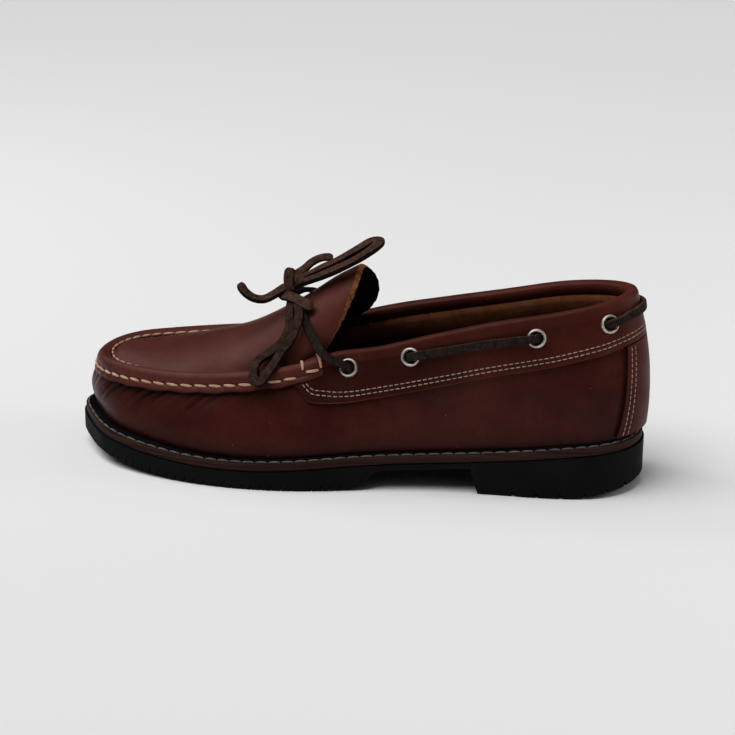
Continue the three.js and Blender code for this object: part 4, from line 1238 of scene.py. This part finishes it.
def collar_section(row, low):
    """Offsets of the band's closed section in each row, out and up from the wall's edge, and its painted
    shade.
    """
    shares = np.concatenate([[0, 0.004, 0.012], np.linspace(0.03, 1, 34)])[None, :]
    face_up = low + (BEAD_FOOT - low) * shares
    above = face_up - low
    dip = 0.16 * sum(bump(above, height, 0.55) for height in BAND_ROWS)
    face_out = np.where(shares == 0, BAND_FACE - 0.35, BAND_FACE) - dip + 0.1 * bump(above, 4.0, 0.9)
    bead = BEAD(np.linspace(0, 1, 40)[1:])
    bead_out, bead_up = [np.broadcast_to(bead[:, i], (len(row), len(bead))) for i in (0, 1)]
    hidden = -1 + (low + 1) * np.linspace(0, 1, 12)[None, :]
    back_up = np.concatenate([np.full((len(row), 2), 0.45), hidden], axis=1)
    back_out = np.full_like(back_up, BAND_GAP)
    back_out[:, 0] = -1.0
    out = np.concatenate([face_out, bead_out, back_out], axis=1)
    up = np.concatenate([face_up, bead_up, back_up], axis=1)
    tone = np.repeat([FACE_SHADE, BEAD_SHADE, BACK_SHADE], [shares.size, len(bead), back_up.shape[1]])
    # Painted shade deepens towards the band's front, less on its roll
    front = 0.5 * smooth((np.abs(row) - 2.2) / 3.6)[:, None]
    return out, up, tone + front * np.where(tone == BEAD_SHADE, 0.55, 1.0)


def make_collar():
    row = band_columns()
    t = band_signed(row)[:, None]
    out, up, shade = collar_section(row, band_edge(t))
    under_seam = np.abs(row)[:, None] > BAND_END
    up = np.where(under_seam, np.minimum(up, -(SEAM_DROP + GAP)), up)
    out = np.where(under_seam, np.clip(out, BAND_GAP, BAND_FACE), out)
    points, faces = tube_mesh(edge_offset(t, out, up))
    columns = out.shape[1]
    kinds = np.zeros(len(faces), dtype=int)
    kinds[:-2] = np.tile(np.isin(np.arange(columns), (0, 1, columns - 1)), len(row) - 1)
    obj = make_object("collar_leather", points, faces, [BAND_LEATHER, BAND_EDGE], kinds, sharp=45)
    shade_points(obj, np.clip(shade, 0, 0.9).ravel())
    dress(obj, "leather_trim", "collar_band")


# Section of the lining's cushion: out and up from the wall's edge, from the roll down to the insole
CUSHION_DEPTH = 28
CUSHION = catmull([
    (-2.6, -3.1), (-4, -3.4), (-5, -5), (-5.1, -8), (-4.3, -13), (-3.4, -20), (-2.7, -CUSHION_DEPTH),
], closed=False)


def make_lining():
    """The padded suede roll under the topline, inside the collar."""
    row = np.linspace(-7.3, 7.3, 300)
    t = band_signed(row)[:, None]
    profile = CUSHION(np.linspace(0, 1, 26))
    deep = np.clip(edge_length(t) - 4, 10, 30) / CUSHION_DEPTH
    up = profile[None, :, 1] * np.where(profile[None, :, 1] < -4, deep, 1)
    puff = 0.12 * np.sin(row * 5.1)[:, None] * bump(profile[:, 0], -5, 1)[None, :]
    points = edge_offset(t, profile[None, :, 0] + puff, up)
    normals = grid_normals(points)
    obj = shell("collar_lining", points, normals, 0.35, [LINING, LINING, LINING])
    # Painted shade, deepening down inside the collar
    depth_shade = np.broadcast_to(0.97 * smooth((-up - 8.5) / 9), points.shape[:2]).ravel()
    shade_points(obj, np.concatenate([depth_shade, depth_shade]))
    dress(obj, "suede")


def strip_surface(offset):
    """Places on the heel strip: u across it from its outer to its inner edge, share up it."""
    reach = through(STRIP, 1)

    def at(u, share):
        u, share = np.broadcast_arrays(np.asarray(u, float), np.asarray(share, float))
        t = reach(share) / AROUND * (1 - 2 * u)
        high = height_share(t, COLLAR_HEIGHT * scalar("band", t) - 2 * GAP)
        return wall_offset(t, high * share, offset)

    return at


def make_heel_strip():
    u = np.linspace(0, 1, 90)[:, None]
    share = np.linspace(0.02, 1, 50)[None, :]
    points = strip_surface(STRIP_FACE)(u, share)
    across = np.minimum(u, 1 - u) * STRIP_WIDTH
    normals = grid_normals(points)
    if normals[u.size // 2, share.size // 2, 0] < 0:
        normals = -normals
    dip = -0.14 * sum(bump(across, distance, 0.5) for distance in STRIP_ROWS)
    points = points + normals * np.broadcast_to(dip, points.shape[:2])[..., None]
    obj = shell("heel_strip_leather", points, normals, OVERLAY, [LIT_TRIM_LEATHER, BACK_SUEDE, LEATHER_EDGE])
    dress(obj, "leather_trim", "heel_strip")


def machine_row(name, places, normals):
    """Fine lock stitches between each place and the next."""
    a, b = places[:-1], places[1:]
    starts, ends = a + (b - a) * 0.1, a + (b - a) * 0.78
    obj = thread_dashes(name, starts, ends, normals[:-1], FINE_THICK, FINE_THREAD,
                        rise=0.12, sides=6, rings=4, taper=0.75)
    dress(obj, "leather_trim")


def make_collar_stitches():
    """Two rows of stitches along the band's lower edge, which curve up with it under the apron's skirt."""
    for index, height in enumerate(BAND_ROWS):
        limit = band_limit(height)

        def line(row, height=height):
            lobe = 1.0 * smooth((np.abs(row) - 6.4) / 1.2)
            t = band_signed(row)
            return edge_offset(t, BAND_FACE + 0.02, band_edge(t) + height + lobe)

        rows = stations(line, -limit, limit, 3.0, 3000)
        normals = wall_frame(band_signed(rows), 0.8)[1]
        machine_row(f"collar_stitches_{index + 1}", line(rows), normals)


def band_limit(height):
    """Row at which a line above the band's lower edge meets the apron's skirt."""
    def room(r):
        t = turn(-1, r)
        return band_edge(t) + height + 1.0 + SEAM_DROP + GAP + 0.4
    return float(solve(room, np.array(0.0), BAND_END + 0.02, 9))


def make_strip_stitches():
    surface = strip_surface(STRIP_FACE + 0.02)
    for side, name in enumerate(SIDES):
        for index, distance in enumerate(STRIP_ROWS):
            def line(share, u=abs(side - distance / STRIP_WIDTH)):
                return surface(u, share)

            places = line(stations(line, 0.03, 0.985, 2.7, 1500))
            normals = unit(places * [1, 1, 0] - [118, 0, 0])
            machine_row(f"strip_stitches_{name}_{index + 1}", places, normals)


# Eyelets and lace

def eyelet_frame(side, along, drop):
    def level(t):
        return height_share(t, TOP(t)[..., 2] - drop + BEAD_RISE)

    def place(row):
        t = turn(side, row)
        return wall_point(t, level(t))[..., 0]

    row = solve(place, np.asarray(x_at(along)), 0.0, 9.0)
    t = turn(side, row)
    v = level(t)
    at, out, up = wall_frame(t, v)
    loop_t = float(t) if side < 0 else float(t) - 1
    return {"t": float(t), "loop": loop_t, "v": float(v), "at": at, "out": out, "up": up}


FRAMES = {side: [eyelet_frame(sign, *rule) for rule in EYELETS] for sign, side in zip((-1, 1), SIDES)}

# Profiles about an eyelet's axis, as radius and height, and a lace's way out of it, as height and reach
RING = [
    (3, -6), (3, -1.2), (3.35, 0.2), (3.7, 0.85), (4.1, 1.15), (4.4, 1.05), (4.75, 0.7), (4.95, 0.2),
    (4.9, -0.3), (3.6, -0.3), (3.2, -6),
]
HOLE = [(0.01, 0.1), (3.25, 0.1), (3.25, -0.3), (0.01, -0.3)]
WAY_OUT = [(-3.2, -2.2), (-0.6, -1.2), (1.3, 0.9), (2.6, 3.6), (2.6, 6.2)]
EYELET_SEAT = BAND_FACE + 0.15
EYELET_ROOM = 9.5


def make_eyelets():
    ring = catmull([(radius, EYELET_SEAT + height) for radius, height in RING])(np.linspace(0, 1, 45)[:-1])
    hole = [(radius, EYELET_SEAT + height) for radius, height in HOLE]
    for side, frames in FRAMES.items():
        for i, at in enumerate(frames):
            name = f"eyelet_{side}_{i + 1}"
            points, faces = lathe(ring, at["at"], at["out"], 56)
            dress(make_object(f"{name}_ring", points, faces, [NICKEL]), "nickel", name)
            # A near-black disc in the hole, as painted shade
            points, faces = lathe(hole, at["at"], at["out"], 24)
            dress(make_object(f"{name}_dark", points, faces, [HOLE_SHADE]), "suede")


def through_eyelet(at, toward):
    """Places that take a lace out of an eyelet's hole and over its rim towards a place."""
    run = toward - at["at"]
    run = unit(run - at["out"] * np.dot(run, at["out"]))
    return [at["at"] + at["out"] * (BAND_FACE + height) + run * reach for height, reach in WAY_OUT]


def side_run(start, end, level, sink=0.0):
    """Places of a lace that lies on the collar between two eyelets."""
    out = BAND_FACE + LACE[1] / 2 + 0.15 - sink
    points = []
    for share in np.linspace(0, 1, 13)[1:-1]:
        t = start["loop"] + (end["loop"] - start["loop"]) * share
        point = wall_offset(t, level(t, share), out)
        if min(np.linalg.norm(point - eyelet["at"]) for eyelet in (start, end)) > EYELET_ROOM:
            points.append(point)
    return through_eyelet(start, points[0]) + points + through_eyelet(end, points[-1])[::-1]


def carried_face(anchor_of):
    """A face rule that starts from the middle of a lace and is carried along it without twist."""
    def rule(path, run):
        middle = len(path) // 2
        faces = np.zeros_like(path)
        faces[middle] = anchor_of(path[middle])
        for order in (range(middle + 1, len(path)), range(middle - 1, -1, -1)):
            last = faces[middle]
            for i in order:
                last = unit(last - run[i] * np.dot(last, run[i]))
                faces[i] = last
        return faces
    return rule


def away_from_axis(point):
    return np.array([0, point[1], (point[2] - COLLAR_HEIGHT / 2) * 0.25])


def from_heel(point):
    return np.array([1.0, 0, 0.15])


def path_points(path):
    return [np.array([x_at(a), BALL_WIDTH * b, COLLAR_HEIGHT * c], float) for a, b, c in path]


def make_bar(name, start, end, level, face, node, sink=0.0):
    """A stretch of the lace that lies on the collar between two eyelets."""
    points = side_run(start, end, level, sink)
    # Painted light and shade: the faces take the shaded copy, the sides, whose upper one catches the light,
    # the lighter rawhide
    obj, _ = strap(name, points, BAR, trimmed=False, face=carried_face(face), paints=[RAWHIDE_FACE_SHADE, RAWHIDE])
    dress(obj, "rawhide", node)


def make_strand(side, points):
    """The stretch from the knot to a first eyelet."""
    points = points + through_eyelet(FRAMES[side][0], points[-1])[:4][::-1]
    obj, _ = strap(f"lace_strand_{side}", points, LACE, trimmed=False, paints=[RAWHIDE_FACE_SHADE, RAWHIDE_SIDE_SHADE])
    dress(obj, "rawhide", f"lace_front_{side}")


def make_laces():
    for side, path in zip(SIDES, (FRONT_OUTER, FRONT_INNER)):
        start, end = FRAMES[side][1:3]

        def even_level(t, share, low=start["v"], high=end["v"]):
            return low + (high - low) * share

        make_bar(f"lace_bar_{side}", start, end, even_level, away_from_axis, f"lace_side_{side}")
        make_strand(side, path_points(path))
    outer, inner = FRAMES["outer"][3], FRAMES["inner"][3]

    def heel_level(t, share):
        plain = outer["at"][2] + (inner["at"][2] - outer["at"][2]) * share
        rise = math.sin(math.pi * share) ** 0.7
        return height_share(np.array(t), plain + (COLLAR_HEIGHT * HEEL_LACE_HEIGHT - plain) * rise)

    make_bar("lace_heel_bar", outer, inner, heel_level, from_heel, "lace_heel", sink=-0.15)


def declare(obj, node):
    dress(obj, "rawhide", node)


def facing(*direction):
    """A face rule: the flat of the lace looks the given way."""
    def rule(path, run):
        return np.tile(np.array(direction, float), (len(path), 1))
    return rule


def make_bow():
    """The bow: a knot of a band round a stem, a loop to each side and two free ends."""
    band, _ = strap("knot_band", path_points(KNOT_BAND), KNOT, step=KNOT_STEP, face=facing(-0.1, -0.8, 0.6))
    stem, _ = strap("knot_stem", path_points(KNOT_STEM), KNOT, step=KNOT_STEP, face=facing(0, -1, 0.2))
    dress(band, "rawhide", "lace_knot")
    dress(stem, "rawhide", "lace_knot")
    high, high_path = strap("bow_loop_high", path_points(HIGH_LOOP), HIGH_LACE, face=facing(0, -0.34, 0.94))
    declare(high, "lace_loop_high")
    low, low_path = strap("bow_loop_low", path_points(LOW_LOOP), LACE, face=facing(-0.1, -0.75, 0.65),
                          paints=[RAWHIDE_SHADED, RAWHIDE_SIDE_SHADE])
    declare(low, "lace_loop_low")
    short, short_path = strap("lace_end_near", path_points(SHORT_END), NEAR_LACE, face=facing(0, -0.7, 0.7))
    declare(short, "lace_end_short")
    long, long_path = strap("lace_end_far", path_points(LONG_END), FAR_LACE, face=facing(0, -0.42, 0.9))
    declare(long, "lace_end_long")


# Camera and light

# The camera, fitted to the photo: what it looks at and from how far, its turns in degrees and its lens
LOOK_AT = (0.00415, 0.00163, 0.0518)
DISTANCE = 1.1
ANGLES = {"around": 8.77, "above": 18.9, "roll": 0.705}
LENS = 101.5
SENSOR = 36


def make_camera():
    around, above, roll = [math.radians(ANGLES[key]) for key in ("around", "above", "roll")]
    back = Vector((math.sin(around) * math.cos(above), -math.cos(around) * math.cos(above), math.sin(above)))
    right = Vector((math.cos(around), math.sin(around), 0))
    rolled = right * math.cos(roll) + back.cross(right) * math.sin(roll)
    camera = add_object("camera", bpy.data.cameras.new("camera"))
    camera.data.lens, camera.data.sensor_width = LENS, SENSOR
    camera.data.clip_start, camera.data.clip_end = 0.01, 20
    basis = Matrix((rolled, back.cross(rolled), back)).transposed()
    camera.matrix_world = Matrix.Translation(Vector(LOOK_AT) + back * DISTANCE) @ basis.to_4x4()
    bpy.context.scene.camera = camera


def area_light(name, place, target, size, power):
    data = bpy.data.lights.new(name, "AREA")
    data.shape, data.size, data.size_y, data.energy = "RECTANGLE", *size, power
    light = add_object(name, data)
    light.location = place
    light.rotation_euler = (Vector(target) - Vector(place)).to_track_quat("-Z", "Y").to_euler()


def sun_light(name, toward, strength, angle):
    data = bpy.data.lights.new(name, "SUN")
    data.energy, data.angle = strength, math.radians(angle)
    add_object(name, data).rotation_euler = Vector(toward).to_track_quat("Z", "Y").to_euler()


def make_floor():
    floor = Paint("floor_paper", (0.93, 0.93, 0.93), 0.95, specular=0.05)
    mesh = bpy.data.meshes.new("floor")
    half, level = 6, -0.0004
    corners = [(x * half, y * half, level) for x, y in ((-1, -1), (1, -1), (1, 1), (-1, 1))]
    mesh.from_pydata(corners, [], [(0, 1, 2, 3)])
    mesh.materials.append(floor.material)
    add_object("floor", mesh)


def make_sky():
    """A soft dome, bright overhead and dim towards the horizon."""
    world = bpy.data.worlds.new("studio")
    world.use_nodes = True
    nodes, links = world.node_tree.nodes, world.node_tree.links
    place = nodes.new("ShaderNodeTexCoord")
    split = nodes.new("ShaderNodeSeparateXYZ")
    links.new(place.outputs["Generated"], split.inputs[0])
    fade = nodes.new("ShaderNodeMapRange")
    fade.interpolation_type = "SMOOTHSTEP"
    for key, value in zip(RANGE_KEYS, (0.3, 0.85, 0.35, 4)):
        fade.inputs[key].default_value = value
    links.new(split.outputs["Z"], fade.inputs["Value"])
    links.new(fade.outputs["Result"], nodes["Background"].inputs["Strength"])
    bpy.context.scene.world = world


def make_light():
    make_sky()
    sun_light("overhead", (-0.35, -0.25, 1.0), 2.0, 50)
    area_light("toe_side", (-0.9, 0.3, 0.75), (-0.08, 0, 0.04), (0.35, 0.7), 2.2)
    area_light("heel_side", (1.0, 0.1, 0.4), (0.12, 0, 0.05), (0.3, 0.6), 1.6)
    view = bpy.context.scene.view_settings
    view.view_transform, view.look = "Standard", "None"


make_camera()
make_bow()
make_laces()
make_outsole()
make_midsole()
make_welt_stitches()
make_insole()
make_upper()
make_apron()
make_seam_stitches()
make_bar_tacks()
make_collar()
make_collar_stitches()
make_lining()
make_heel_strip()
make_strip_stitches()
make_eyelets()
make_floor()
make_light()
